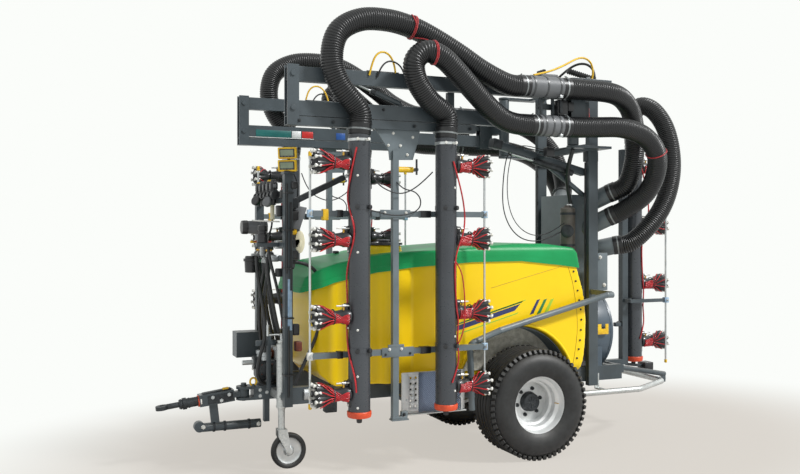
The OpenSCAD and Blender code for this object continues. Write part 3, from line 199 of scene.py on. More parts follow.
def finish(name, light, dark, rough, drift=0.25, grain=0.004, relief=0.0002, metallic=0.0,
        dust=0.0, coat=0.0, sheen=0.0, spread=0.10):
    """A finish whose colour drifts from light to dark over drift metres.

    Its grain is grain metres wide and relief metres deep; spread is how far its roughness
    wanders, and dust how much settles on what faces up.
    """
    made = bpy.data.materials.new(name)
    made.use_nodes = True
    tree = made.node_tree
    shader = tree.nodes["Principled BSDF"]
    coords = add(tree, "TexCoord", {})
    place = coords.outputs["Object"]
    cloud = add(tree, "TexNoise", {"Vector": place, "Scale": 1 / drift, "Detail": 5.0,
            "Roughness": 0.6})
    base = add(tree, "ValToRGB", {"Fac": cloud.outputs["Fac"]})
    base.color_ramp.elements[0].position = 0.35
    base.color_ramp.elements[0].color = linear(dark)
    base.color_ramp.elements[1].position = 0.65
    base.color_ramp.elements[1].color = linear(light)
    fine = add(tree, "TexNoise", {"Vector": place, "Scale": 1 / grain, "Detail": 3.0})
    colour = base.outputs["Color"]
    if dust:
        facing = add(tree, "NewGeometry", {})
        parts = add(tree, "SeparateXYZ", {"Vector": facing.outputs["Normal"]})
        up = add(tree, "MapRange", {"Value": parts.outputs["Z"], "From Min": 0.2, "From Max": 1.0,
                "To Max": dust})
        patchy = add(tree, "Math", {0: up.outputs[0], 1: cloud.outputs["Fac"]},
            operation="MULTIPLY")
        settled = add(tree, "Mix", {"Factor": patchy.outputs[0], 6: colour, 7: linear("#a39c90")},
            data_type="RGBA")
        colour = settled.outputs[2]
    tree.links.new(colour, shader.inputs["Base Color"])
    wander = add(tree, "MapRange", {"Value": fine.outputs["Fac"], "To Min": rough - spread,
            "To Max": rough + spread})
    tree.links.new(wander.outputs[0], shader.inputs["Roughness"])
    bump = add(tree, "Bump", {"Height": fine.outputs["Fac"], "Distance": relief, "Strength": 0.6})
    tree.links.new(bump.outputs[0], shader.inputs["Normal"])
    shader.inputs["Metallic"].default_value = metallic
    shader.inputs["Coat Weight"].default_value = coat
    shader.inputs["Sheen Weight"].default_value = sheen
    return made


def galvanised():
    """Hot-dip galvanised steel: a spangle of crystals that each shine a little differently."""
    made = bpy.data.materials.new("galvanised_steel")
    made.use_nodes = True
    tree = made.node_tree
    shader = tree.nodes["Principled BSDF"]
    coords = add(tree, "TexCoord", {})
    # Spangle is 5 to 12 mm across
    cells = add(tree, "TexVoronoi", {"Vector": coords.outputs["Object"], "Scale": 1 / 0.012})
    shade = add(tree, "ValToRGB", {"Fac": cells.outputs["Color"]})
    shade.color_ramp.elements[0].color = linear("#b2b6b5")
    shade.color_ramp.elements[1].color = linear("#cfd1cf")
    tree.links.new(shade.outputs["Color"], shader.inputs["Base Color"])
    gloss = add(tree, "MapRange", {"Value": cells.outputs["Distance"], "To Min": 0.38,
            "To Max": 0.46})
    tree.links.new(gloss.outputs[0], shader.inputs["Roughness"])
    bump = add(tree, "Bump", {"Height": cells.outputs["Distance"], "Distance": 0.0002,
            "Strength": 0.5})
    tree.links.new(bump.outputs[0], shader.inputs["Normal"])
    shader.inputs["Metallic"].default_value = 0.75
    return made


# Powder coat on steel: a slate grey with a faint orange peel
slate = finish("powder_coated_steel", "#464f54", "#3b4347", 0.40, grain=0.007, relief=0.0004,
    dust=0.35)
slate_pale = finish("powder_coated_steel_pale", "#697377", "#5a6468", 0.40, grain=0.007,
    relief=0.0004, dust=0.35)
# Painted spiral tube: smoother and glossier than the frame
duct_paint = finish("painted_duct_tube", "#4a4d51", "#414448", 0.30, drift=0.5, grain=0.02,
    relief=0.0001, metallic=0.35)
# Sheet steel of the fan, air-dried enamel
fan_enamel = finish("blue_grey_enamel", "#4d5b66", "#414e59", 0.36, grain=0.010, relief=0.0004,
    dust=0.3)
# Rotation-moulded polyethylene: waxy, with a slight orange-peel skin
yellow_poly = finish("moulded_polyethylene_yellow", "#fcd91b", "#f8cd14", 0.31, drift=0.9,
    grain=0.012, relief=0.0005, spread=0.06)
green_poly = finish("moulded_polyethylene_green", "#179c59", "#108a4a", 0.42, drift=0.7,
    grain=0.012, relief=0.0004, spread=0.05)
# Waxy polyethylene mirrors less of the sky than paint does
for waxy in (yellow_poly, green_poly):
    waxy.node_tree.nodes["Principled BSDF"].inputs["Specular IOR Level"].default_value = 0.3
# Recycled polyethylene of the mudguard: pale with dark specks and road dust
grey_poly = finish("moulded_mudguard", "#cfccbf", "#a9a698", 0.72, drift=0.03, grain=0.008,
    relief=0.0010, dust=0.3)
tyre_rubber = finish("tyre_rubber", "#242525", "#151616", 0.52, drift=0.06, grain=0.006,
    relief=0.0005, dust=0.2)
# Hose of plasticised PVC over a moulded helix, with a satin skin
hose_rubber = finish("ribbed_hose_pvc", "#151618", "#0f1012", 0.38, drift=0.4, grain=0.01,
    spread=0.06)
thin_rubber = finish("hydraulic_hose_rubber", "#26282a", "#161718", 0.46, drift=0.08, grain=0.003,
    relief=0.0003)
black_abs = finish("moulded_abs_black", "#26272a", "#17181a", 0.36, drift=0.1, coat=0.1)
red_pu = finish("polyurethane_tube_red", "#c8262c", "#9c1a22", 0.28, drift=0.05, grain=0.01,
    relief=0.0001, spread=0.05)
orange_pp = finish("moulded_cap_orange", "#e4582f", "#c94322", 0.42, drift=0.04, relief=0.0003)
yellow_pp = finish("moulded_yellow", "#eec51d", "#d8a814", 0.40, drift=0.05, relief=0.0003)
white_nylon = finish("moulded_nylon_white", "#ecebe4", "#d6d5cd", 0.38, drift=0.03, grain=0.003)
sky_nylon = finish("moulded_nylon_pale_blue", "#a9c3d8", "#8ba8c2", 0.38, drift=0.03, grain=0.003)
grey_pvc = finish("rigid_pvc_grey", "#6c6e70", "#606264", 0.50, drift=0.2, grain=0.01, spread=0.06)
silver_paint = finish("aluminium_paint", "#e2e3e2", "#cfd1d0", 0.40, drift=0.1, grain=0.003,
    metallic=0.25)
bright_steel = finish("zinc_plated_steel", "#cdd0d0", "#b9bdbe", 0.34, drift=0.08, grain=0.003,
    relief=0.00005, metallic=0.9)
# Stainless band and screw of the hose clamps, dulled outdoors
clamp_steel = finish("stainless_band", "#8d9191", "#777b7c", 0.44, drift=0.04, grain=0.003,
    relief=0.0001, metallic=0.6)
cast_alloy = finish("cast_aluminium", "#b9bdbf", "#a3a7a9", 0.45, drift=0.05, relief=0.0006,
    metallic=0.8)
forged_steel = finish("forged_steel_black", "#3b3f42", "#26292b", 0.48, drift=0.05, grain=0.005,
    relief=0.0006, metallic=0.4)
brass = finish("machined_brass", "#d2ab55", "#b48a3a", 0.32, drift=0.02, grain=0.003,
    relief=0.0001, metallic=0.9)
pump_red = finish("cast_iron_red_oxide", "#8c3a26", "#6b2a1c", 0.50, drift=0.04, grain=0.005,
    relief=0.0010, dust=0.3)
blue_enamel = finish("enamel_blue", "#2f5fa8", "#264f90", 0.35, drift=0.1, grain=0.006)
teal_plate = finish("enamel_plate_teal", "#1d6a66", "#175a57", 0.35, drift=0.1, grain=0.006)
# Printed vinyl and enamel of the stripes and sign plates
stripe_navy = finish("vinyl_stripe_navy", "#2a3568", "#232c58", 0.30, drift=0.2, grain=0.01,
    relief=0.0001, spread=0.04)
stripe_green = finish("vinyl_stripe_green", "#1f7d46", "#1a6d3c", 0.30, drift=0.2, grain=0.01,
    relief=0.0001, spread=0.04)
stripe_lime = finish("vinyl_stripe_lime", "#a9cf3a", "#9ac02f", 0.30, drift=0.2, grain=0.01,
    relief=0.0001, spread=0.04)
sign_red = finish("enamel_red", "#c92f2b", "#b02622", 0.35, drift=0.1, grain=0.006)
red_cloth = finish("polypropylene_rope_red", "#c0272b", "#8f1a20", 0.75, drift=0.02, grain=0.003,
    relief=0.0008, sheen=0.3)
# Darker yellow of the tank's parting and flange lines: painted shade of their creases
crease_shade_yellow = finish("mould_seam_painted_shade", "#c9a414", "#b8940f", 0.5, drift=0.1, relief=0.0003)
cream_nylon = finish("moulded_nylon_cream", "#e8e2c4", "#d3ccab", 0.42, drift=0.05)
pvc_dark = finish("rigid_pvc_dark", "#4a4c4d", "#3f4142", 0.36, drift=0.2, grain=0.008, spread=0.05)
rust_brown = finish("cast_iron_brown", "#7a3a28", "#5c2b1e", 0.6, drift=0.03, relief=0.0008,
    dust=0.3)
grey_brown = finish("dull_can_enamel", "#6d675f", "#575149", 0.5, drift=0.1, grain=0.006,
    relief=0.0004, dust=0.3)
lead_screen = finish("display_glass", "#8d9a80", "#7b876f", 0.12, drift=0.1, grain=0.02,
    relief=0.0, spread=0.02)
zinc = galvanised()


def studded(name, light, dark, pitch):
    """Painted tread sheet with studs pressed through it at that pitch, in metres."""
    made = finish(name, light, dark, 0.42, drift=0.3, grain=0.006)
    tree = made.node_tree
    coords = add(tree, "TexCoord", {})
    parts = add(tree, "SeparateXYZ", {"Vector": coords.outputs["Object"]})
    rows = []
    for axis in ("X", "Z"):
        turns = add(tree, "Math", {0: parts.outputs[axis], 1: 2 * math.pi / pitch},
            operation="MULTIPLY")
        rows.append(add(tree, "Math", {0: turns.outputs[0]}, operation="SINE"))
    both = add(tree, "Math", {0: rows[0].outputs[0], 1: rows[1].outputs[0]}, operation="MULTIPLY")
    stud = add(tree, "MapRange", {"Value": both.outputs[0], "From Min": 0.45, "From Max": 0.7})
    shader = tree.nodes["Principled BSDF"]
    plain = shader.inputs["Base Color"].links[0].from_socket
    mixed = add(tree, "Mix", {"Factor": stud.outputs[0], 6: plain, 7: linear("#aab4c2")},
        data_type="RGBA")
    tree.links.new(mixed.outputs[2], shader.inputs["Base Color"])
    raised = add(tree, "Bump", {"Height": stud.outputs[0], "Distance": 0.0015, "Strength": 0.8})
    tree.links.new(raised.outputs[0], shader.inputs["Normal"])
    return made


# Studs are 11 mm apart, drawn at 16 mm so that they show. The sheet's blue-grey is painted shadow:
# the rear duct's shadow on the pale step plate.
studded_shadow_sheet = studded("tread_sheet_painted_shadow", "#4c5a70", "#414e63", 0.016)

SLOT_FINISH = {
    "frame_paint": slate, "gantry_paint": slate, "tank_plastic": yellow_poly,
    "hood_plastic": green_poly, "black_plastic": black_abs, "fan_paint": fan_enamel,
    "fan_alloy": cast_alloy, "tower_paint": slate_pale, "zinc": zinc, "guard_paint": slate_pale,
    "tyre": tyre_rubber, "rim_paint": silver_paint, "jockey_rubber": tyre_rubber,
    "eye_steel": forged_steel, "pump_paint": pump_red, "bright_steel": bright_steel,
    "meter_plastic": yellow_pp, "thin_hose_rubber": thin_rubber, "duct_paint": duct_paint,
    "red_hose": red_pu, "hose_rubber": hose_rubber, "coupling_plastic": grey_pvc}

# ---------------------------------------------------------------- ways to make a piece


def alone(*pieces):
    """Only these pieces are selected, and the first is active."""
    bpy.ops.object.select_all(action="DESELECT")
    for piece in pieces:
        piece.select_set(True)
    if pieces:
        bpy.context.view_layer.objects.active = pieces[0]


def edit_all():
    """Edit mode on the active piece, with all of it selected."""
    bpy.ops.object.mode_set(mode="EDIT")
    bpy.ops.mesh.select_all(action="SELECT")


def faces_out():
    """Turns what is selected to face outwards, and ends edit mode."""
    bpy.ops.mesh.normals_make_consistent(inside=False)
    bpy.ops.object.mode_set(mode="OBJECT")


def settle(piece, turn=None):
    """Puts the piece's place into its mesh, after a further turn or move."""
    piece.data.transform((turn or Matrix.Identity(4)) @ piece.matrix_basis)
    piece.matrix_basis = Matrix.Identity(4)
    return piece


def facing(place, direction):
    """Carries +Z to the direction and the origin to the place."""
    turn = Vector(direction).to_track_quat("Z", "Y").to_matrix().to_4x4()
    return Matrix.Translation(place) @ turn


def at(x, y, z):
    """Moves a piece made at the origin to a place given from the axle's middle."""
    return Matrix.Translation(spot(x, y, z))


def about(axis, degrees=90):
    """A turn about an axis: a quarter, or as many degrees as are given."""
    return Matrix.Rotation(math.radians(degrees), 4, axis)


def round_the_axis(height, radius, angle):
    """A place at that height, radius and angle in degrees about +Z."""
    a = math.radians(angle)
    return Vector((radius * math.cos(a), radius * math.sin(a), height))


def outward(height, radius, angle):
    """Carries +Z to point away from an upright axis, at that height, radius and angle."""
    return facing(round_the_axis(height, radius, angle), round_the_axis(0, 1, angle))


def clad(piece, finish_of, smooth=35.0):
    """Gives the piece one finish, smooth up to an angle in degrees."""
    piece.data.materials.clear()
    piece.data.materials.append(finish_of)
    alone(piece)
    bpy.ops.object.shade_smooth_by_angle(angle=math.radians(smooth))
    return piece


def turned(name, stations, finish_of, sides=24, smooth=35.0, ring=False):
    """A solid turned about +Z through stations of height and radius, foot first.

    A ring's last station joins its first, and it has no end faces.
    """
    alone()
    foot, radius = stations[0]
    filled = "NOTHING" if ring else "NGON"
    bpy.ops.mesh.primitive_circle_add(vertices=sides, radius=radius, fill_type=filled,
        location=(0, 0, foot))
    piece = bpy.context.active_object
    piece.name = name
    edit_all()
    stops = stations + stations[:1] if ring else stations
    for (low, inner), (high, outer) in zip(stops, stops[1:]):
        bpy.ops.mesh.extrude_region_move(TRANSFORM_OT_translate={"value": (0, 0, high - low)})
        bpy.ops.transform.resize(value=(outer / inner, outer / inner, 1),
            center_override=(0, 0, high))
    bpy.ops.mesh.select_all(action="SELECT")
    if ring:
        bpy.ops.mesh.remove_doubles(threshold=0.00001)
    faces_out()
    return clad(settle(piece), finish_of, smooth)


def block(name, low, high, finish_of, edge=0.003, steps=2):
    """A box between two opposite corners with rounded edges."""
    low, high = Vector(map(min, low, high)), Vector(map(max, low, high))
    alone()
    bpy.ops.mesh.primitive_cube_add(size=1, location=(low + high) / 2, scale=high - low)
    piece = settle(bpy.context.active_object)
    piece.name = name
    edit_all()
    bpy.ops.mesh.bevel(offset=edge, segments=steps, affect="EDGES")
    bpy.ops.object.mode_set(mode="OBJECT")
    return clad(piece, finish_of)


def bar(name, start, end, wide, deep, finish_of, edge=0.002):
    """A square bar from start to end."""
    start, end = Vector(start), Vector(end)
    length = (end - start).length
    piece = block(name, (-wide / 2, -deep / 2, 0), (wide / 2, deep / 2, length), finish_of, edge)
    return settle(piece, facing(start, end - start))


def rounded(points, steps):
    """Points along a smooth curve through the given ones."""
    places = [Vector(p) for p in points]
    padded = [places[0]] + places + [places[-1]]
    out = []
    for a, b, c, d in zip(padded, padded[1:], padded[2:], padded[3:]):
        for k in range(steps):
            t = k / steps
            out.append(0.5 * (2 * b + (c - a) * t + (2 * a - 5 * b + 4 * c - d) * t * t
                    + (3 * b - a - 3 * c + d) * t ** 3))
    return out + [places[-1]]


def line(name, points, radius, closed=False):
    """A curve through the points as a poly line, as thick as the radius says."""
    data = bpy.data.curves.new(name, "CURVE")
    data.dimensions = "3D"
    data.twist_mode = "MINIMUM"
    data.bevel_depth = radius
    data.bevel_resolution = 3
    data.use_fill_caps = True
    spline = data.splines.new("POLY")
    spline.points.add(len(points) - 1)
    for point, place in zip(spline.points, points):
        point.co = (*place, 1)
    spline.use_cyclic_u = closed
    piece = bpy.data.objects.new(name, data)
    into_scene(piece)
    return piece


def tube(name, points, radius, finish_of, steps=6, closed=False):
    """A round tube along the smooth curve through the points."""
    piece = line(name, rounded(points, steps) if steps else points, radius, closed)
    alone(piece)
    bpy.ops.object.convert(target="MESH")
    return clad(bpy.context.active_object, finish_of, 60.0)


def copies(piece, places):
    """Copies of the piece, each with its own mesh, at each of the matrices; the piece goes."""
    made = []
    for k, place in enumerate(places):
        other = piece.copy()
        other.data = piece.data.copy()
        other.data.transform(place)
        other.name = f"{piece.name}_{k + 1}"
        into_scene(other)
        made.append(other)
    bpy.data.objects.remove(piece)
    return made


def joined(name, pieces, body, *stands_for):
    """The pieces made one, which rides on the body and stands for those nodes."""
    alone(*pieces)
    if len(pieces) > 1:
        bpy.ops.object.join()
    piece = bpy.context.active_object
    piece.name = name
    piece.data.name = name
    if body:
        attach(piece, body)
    if stands_for:
        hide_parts(*stands_for)
    return piece


def sided(side, point):
    """A place given for the near side, on the side asked for."""
    x, y, z = point
    return Vector((x, y if side == "near" else -y, z))


# ---------------------------------------------------------------- cables and small hoses


def eased(points, steps):
    """A smooth curve that leaves the first point, is drawn by the rest and ends at the last."""
    held = [Vector(p) for p in (points[0],) * 2 + tuple(points) + (points[-1],) * 2]
    route = [held[0]]
    for k in range(len(held) - 3):
        a, b, c, d = held[k:k + 4]
        for step in range(1, steps + 1):
            t = step / steps
            place = ((1 - t) ** 3 * a + (3 * t ** 3 - 6 * t ** 2 + 4) * b
                + (-3 * t ** 3 + 3 * t ** 2 + 3 * t + 1) * c + t ** 3 * d) / 6
            if (place - route[-1]).length > 0.004:
                route.append(place)
    route[-1] = held[-1]
    return route


def cable(name, points, diameter, finish_of, body):
    """A cable or hose that leaves the machine at its first point and goes in at its last."""
    route = eased(points, 6)
    piece = tube(name, route, diameter / 2, finish_of, 0)
    if body:
        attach(piece, body)
    return piece


# Loops of control cable between the boom's centre bar, its upper crossbar and the rear duct
for side, _ in SIDES:
    for name, points in (
            ("upper_loop", [(-1.388, -0.785, 2.21), (-1.350, -0.785, 2.11),
                    (-1.295, -0.785, 2.035), (-1.236, -0.79, 2.003), (-1.180, -0.79, 1.983),
                    (-1.123, -0.79, 1.977), (-1.065, -0.79, 1.995), (-1.009, -0.79, 2.028),
                    (-0.950, -0.79, 2.075), (-0.888, -0.795, 2.135)]),
            ("lower_loop", [(-1.150, -0.765, 2.06), (-1.118, -0.785, 2.018),
                    (-1.075, -0.79, 2.004), (-1.032, -0.79, 1.998), (-0.995, -0.79, 1.972),
                    (-0.975, -0.79, 1.930), (-0.982, -0.79, 1.885), (-1.020, -0.79, 1.850),
                    (-1.10, -0.79, 1.826), (-1.21, -0.79, 1.826), (-1.30, -0.79, 1.850),
                    (-1.36, -0.775, 1.862)])):
        cable(f"{side}_{name}", [sided(side, p) for p in spots(*points)], 0.009, thin_rubber,
            f"{side}_boom")

# Suction, pressure and return hoses from the valves to the pump and the drawbar
FRONT_HOSES = (
    ("suction_left", [(-1.894, -0.02, 1.509), (-1.894, -0.02, 1.44), (-1.88, -0.07, 1.15),
            (-1.82, -0.07, 0.92), (-1.82, -0.07, 0.8635)]),
    ("suction_right", [(-1.894, 0.06, 1.509), (-1.894, 0.06, 1.44), (-1.88, 0.08, 1.15),
            (-1.82, 0.07, 0.92), (-1.82, 0.07, 0.8635)]),
    ("delivery_left", [(-1.894, -0.11, 1.509), (-1.894, -0.11, 1.44), (-1.965, -0.15, 1.15),
            (-1.91, -0.07, 0.88), (-1.91, -0.07, 0.8235)]),
    ("delivery_right", [(-1.894, 0.02, 1.509), (-1.894, 0.02, 1.44), (-1.95, 0.02, 1.15),
            (-1.91, 0.07, 0.88), (-1.91, 0.07, 0.8235)]),
    ("return_line", [(-1.894, 0.20, 1.509), (-1.894, 0.20, 1.44), (-1.84, 0.25, 1.0),
            (-1.80, 0.25, 0.7), (-1.80, 0.25, 0.6005)]))
for name, points in FRONT_HOSES:
    piece = cable(name, spots(*points), 0.030, thin_rubber, "chassis")
    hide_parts("front_hoses")
STAND_LINES = (
    ("filter_line", [(-1.985, -0.09, 1.53), (-1.99, -0.14, 1.38), (-1.955, -0.17, 1.18),
            (-1.93, -0.19, 0.98), (-1.985, -0.20, 0.82), (-2.01, -0.19, 0.70),
            (-1.97, -0.15, 0.61), (-1.90, -0.09, 0.585), (-1.84, -0.06, 0.60)], 0.026,
        thin_rubber),
    ("agitator_line", [(-1.922, -0.165, 1.525), (-1.93, -0.20, 1.40), (-1.90, -0.23, 1.20),
            (-1.86, -0.22, 1.00), (-1.80, -0.20, 0.84), (-1.76, -0.17, 0.70),
            (-1.762, -0.132, 0.640)], 0.028, thin_rubber),
    ("regulator_line", [(-1.95, -0.29, 1.62), (-1.94, -0.31, 1.50), (-1.88, -0.31, 1.30),
            (-1.85, -0.30, 1.10), (-1.80, -0.27, 0.90), (-1.74, -0.20, 0.75),
            (-1.760, -0.128, 0.690)], 0.022, thin_rubber),
    ("boom_supply", [(-1.810, -0.415, 1.50), (-1.70, -0.41, 1.49), (-1.60, -0.38, 1.42),
            (-1.55, -0.36, 1.27), (-1.56, -0.35, 1.10), (-1.62, -0.35, 0.92), (-1.70, -0.34, 0.76),
            (-1.76, -0.33, 0.62)], 0.026, thin_rubber),
    ("meter_lead", [(-1.80, -0.42, 2.13), (-1.77, -0.41, 2.08), (-1.75, -0.39, 1.98),
            (-1.78, -0.36, 1.86), (-1.835, -0.368, 1.76)], 0.008, thin_rubber))

# Hydraulic hoses over the gantry and the slack leads below it
GANTRY_LINES = (
    ("black_pressure_hose", [(0.60, -0.05, 2.99), (0.64, -0.15, 3.06), (0.69, -0.24, 3.115),
            (0.75, -0.31, 3.11), (0.80, -0.34, 3.055), (0.790, -0.365, 2.962)], 0.020,
        thin_rubber),
    ("folding_hose", [(0.47, -0.52, 2.37), (0.465, -0.46, 2.24), (0.51, -0.37, 2.13),
            (0.58, -0.29, 2.04), (0.630, -0.250, 1.925)], 0.034, thin_rubber),
    ("light_lead", [(0.42, -0.485, 2.38), (0.30, -0.44, 2.335), (0.14, -0.43, 2.365),
            (0.00, -0.42, 2.39), (-0.055, -0.38, 2.33), (-0.058, -0.33, 2.13),
            (-0.050, -0.30, 1.924), (-0.010, -0.30, 1.80), (0.042, -0.30, 1.720),
            (0.110, -0.30, 1.665), (0.180, -0.30, 1.640), (0.265, -0.30, 1.632),
            (0.350, -0.30, 1.648), (0.474, -0.29, 1.692), (0.560, -0.28, 1.735),
            (0.630, -0.255, 1.76)], 0.009, thin_rubber),
    ("sensor_lead", [(0.43, -0.490, 2.38), (0.32, -0.45, 2.345), (0.16, -0.44, 2.38),
            (0.03, -0.43, 2.40), (-0.02, -0.39, 2.33), (-0.030, -0.34, 2.13),
            (-0.012, -0.32, 1.95), (0.035, -0.31, 1.83), (0.090, -0.31, 1.755),
            (0.165, -0.31, 1.70), (0.260, -0.31, 1.675), (0.365, -0.30, 1.69),
            (0.470, -0.29, 1.74), (0.560, -0.28, 1.79), (0.630, -0.255, 1.82)], 0.007, thin_rubber))
for name, points, thick, finish_of in STAND_LINES + GANTRY_LINES:
    cable(name, spots(*points), thick, finish_of, "chassis")

# Yellow pressure hose from the upper coupling to the post
YELLOW = spots((-0.09, -0.845, 2.868), (0.00, -0.80, 2.893), (0.11, -0.75, 2.925),
    (0.24, -0.68, 2.975), (0.38, -0.59, 3.035), (0.51, -0.50, 3.095), (0.64, -0.42, 3.135),
    (0.74, -0.385, 3.11), (0.765, -0.38, 3.03), (0.750, -0.375, 2.955))
yellow = cable("yellow_pressure_hose", YELLOW, 0.016, yellow_pp, None)
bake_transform(yellow)

for side, _ in SIDES:
    for name, points, thick, finish_of in (
            ("lift_hose", [(-1.36, -0.775, 2.79), (-1.345, -0.785, 2.86), (-1.32, -0.785, 2.93),
                    (-1.27, -0.78, 2.965), (-1.21, -0.775, 2.95), (-1.17, -0.765, 2.89),
                    (-1.155, -0.755, 2.815)], 0.014, yellow_pp),
            ("lift_return", [(-1.30, -0.775, 2.78), (-1.285, -0.79, 2.84), (-1.24, -0.79, 2.895),
                    (-1.18, -0.785, 2.90), (-1.12, -0.775, 2.87), (-1.09, -0.76, 2.812)], 0.012,
                thin_rubber)):
        cable(f"{side}_{name}", [sided(side, p) for p in spots(*points)], thick, finish_of,
            f"{side}_upper")

# ---------------------------------------------------------------- work on CAD nodes


def merged_copy(node, name):
    """A copy of a CAD node's mesh with its loose triangles merged."""
    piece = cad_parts[node].copy()
    piece.data = piece.data.copy()
    piece.parent = None
    piece.matrix_world = Matrix.Identity(4)
    piece.name = name
    piece.data.name = name
    into_scene(piece)
    piece.hide_render = False
    alone(piece)
    edit_all()
    bpy.ops.mesh.remove_doubles(threshold=0.00002)
    bpy.ops.object.mode_set(mode="OBJECT")
    return piece


def applied(piece, *modifiers):
    """Applies the piece's modifiers in their order; each is a kind and its settings."""
    alone(piece)
    for kind, settings in modifiers:
        made = piece.modifiers.new(kind.lower(), kind)
        for key, value in settings.items():
            setattr(made, key, value)
        bpy.ops.object.modifier_apply(modifier=made.name)
    return piece


def softened(node, width):
    """Rounds the edges of a CAD node that stays, by that width."""
    made = node.modifiers.new("merge", "WELD")
    made.merge_threshold = 0.00002
    made = node.modifiers.new("flat_faces", "DECIMATE")
    made.decimate_type = "DISSOLVE"
    made.angle_limit = math.radians(1)
    made = node.modifiers.new("rounded_edges", "BEVEL")
    made.width = width
    made.segments = 2
    made.limit_method = "ANGLE"
    made.angle_limit = math.radians(40)
    made.use_clamp_overlap = True
    made.harden_normals = False


# ---------------------------------------------------------------- the frame's own pieces

# Nodes whose edges are rounded, with the rounding in metres: tubes, castings and plates
ROUNDED = {
    "chassis_frame": 0.004, "axle": 0.004, "gantry": 0.004, "control_stand": 0.004,
    "tail_carrier": 0.004, "hitch_head": 0.004, "jockey_fork": 0.002, "jack_tube": 0.003,
    "pump": 0.006, "valve_manifold": 0.003, "meters": 0.004, "fan_housing": 0.003,
    "rear_hoop": 0.003, "wheel_guards": 0.003, "filler_lid": 0.003, "near_turret": 0.003,
    "far_turret": 0.003, "near_upper_beam": 0.005, "far_upper_beam": 0.005,
    "near_lower_beam": 0.005, "far_lower_beam": 0.005, "near_rail": 0.004, "far_rail": 0.004,
    "near_boom": 0.003, "far_boom": 0.003}

# Nodes that are paler than the rest of their slot, or plated
SPECIAL = {
    "near_boom": slate_pale, "far_boom": slate_pale, "near_rods": bright_steel,
    "far_rods": bright_steel, "jack_crank": bright_steel}

for name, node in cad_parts.items():
    for place in node.material_slots:
        place.material = SPECIAL.get(name, SLOT_FINISH[place.material.name])
    if name in ROUNDED:
        softened(node, ROUNDED[name])

# ---------------------------------------------------------------- air hoses

RIB_PITCH = 0.0165
CUFF = 0.075


def ribbed(name, route):
    """A ribbed hose along the route with a plain cuff at each end."""
    points = rounded(route, 10)
    length = sum((b - a).length for a, b in zip(points, points[1:]))
    count = round(length / RIB_PITCH)
    pitch = length / count
    alone()
    bpy.ops.mesh.primitive_circle_add(vertices=28, radius=HOSE_R - 0.0055, fill_type="NOTHING")
    hose = bpy.context.active_object
    hose.name = name
    bpy.ops.object.mode_set(mode="EDIT")
    radius, height = HOSE_R - 0.0055, 0.0
    for share, outer in ((0.25, HOSE_R - 0.0015), (0.5, HOSE_R), (0.75, HOSE_R - 0.0015),
            (1.0, HOSE_R - 0.0055)):
        bpy.ops.mesh.extrude_region_move(
            TRANSFORM_OT_translate={"value": (0, 0, share * pitch - height)})
        bpy.ops.transform.resize(value=(outer / radius, outer / radius, 1),
            center_override=(0, 0, share * pitch))
        radius, height = outer, share * pitch
    bpy.ops.object.mode_set(mode="OBJECT")
    course = line("course", points, 0.0)
    applied(hose,
        ("ARRAY", {"fit_type": "FIXED_COUNT", "count": count, "use_relative_offset": False,
                "use_constant_offset": True, "constant_offset_displace": (0, 0, pitch),
                "use_merge_vertices": True, "merge_threshold": 0.0004}),
        ("CURVE", {"object": course, "deform_axis": "POS_Z"}))
    bpy.data.objects.remove(course)
    edit_all()
    bpy.ops.mesh.fill_holes(sides=0)
    faces_out()
    clad(hose, hose_rubber, 60.0)
    ends = [facing(points[0], points[1] - points[0]), facing(points[-1], points[-2] - points[-1])]
    cuff = turned("cuff", [(-0.002, HOSE_R - 0.004), (0.001, HOSE_R + 0.0005),
            (CUFF - 0.004, HOSE_R + 0.0005), (CUFF, HOSE_R - 0.004)], hose_rubber, 48)
    return [hose] + copies(cuff, ends), ends


def worm_clamp(name, radius, turn):
    """A worm-drive clamp about +Z: band, housing and screw."""
    band = turned("band", [(0.000, radius - 0.001), (0.0006, radius + 0.001),
            (0.0115, radius + 0.001), (0.012, radius - 0.001)], clamp_steel, 48)
    housing = block("housing", (radius - 0.001, -0.014, -0.001), (radius + 0.011, 0.014, 0.013),
        clamp_steel, 0.002)
    screw = settle(turned("screw", [(-0.030, 0.0045), (0.018, 0.0045), (0.019, 0.0075),
                (0.026, 0.0075), (0.027, 0.006)], clamp_steel, 6),
        Matrix.Translation((radius + 0.006, 0, 0.006)) @ about("X", -90))
    tail = settle(block("tail", (radius, -0.045, 0.001), (radius + 0.0015, -0.012, 0.011),
            clamp_steel, 0.0005, 1))
    clamp = joined(name, [band, housing, screw, tail], None)
    return settle(clamp, Matrix.Rotation(turn, 4, "Z"))


def clamped(hose_ends, turns):
    """A worm clamp on each cuff; turns say where round the cuff its screw sits, in radians."""
    made = []
    for k, (end, turn) in enumerate(zip(hose_ends, turns)):
        clamp = worm_clamp(f"worm_clamp_{k + 1}", HOSE_R + 0.001, turn)
        made.append(settle(clamp, end @ Matrix.Translation((0, 0, 0.030))))
    return made


def spigot_mouth(x, y, z, turn, rise, reach):
    """The mouth of a spigot and its direction, from the near side's turn and rise."""
    t, r = math.radians(turn), math.radians(rise)
    way = Vector((math.cos(r) * math.cos(t), math.cos(r) * math.sin(t), math.sin(r)))
    start = spot(x, y, z) + way * reach
    return start, way


COUPLING_Y = 0.868
HOSE_D = 2 * HOSE_R
A_Z, B_Z = 2.78, 2.495
MOUTH_A, WAY_A = spigot_mouth(0.8, -0.19, 1.93, -50, 25, 0.23)
MOUTH_B, WAY_B = spigot_mouth(0.8, -0.19, 1.735, -50, 25, 0.23)
MOUTH_T, WAY_T = spigot_mouth(0.85, -0.15, 1.545, -33, 12, 0.23)

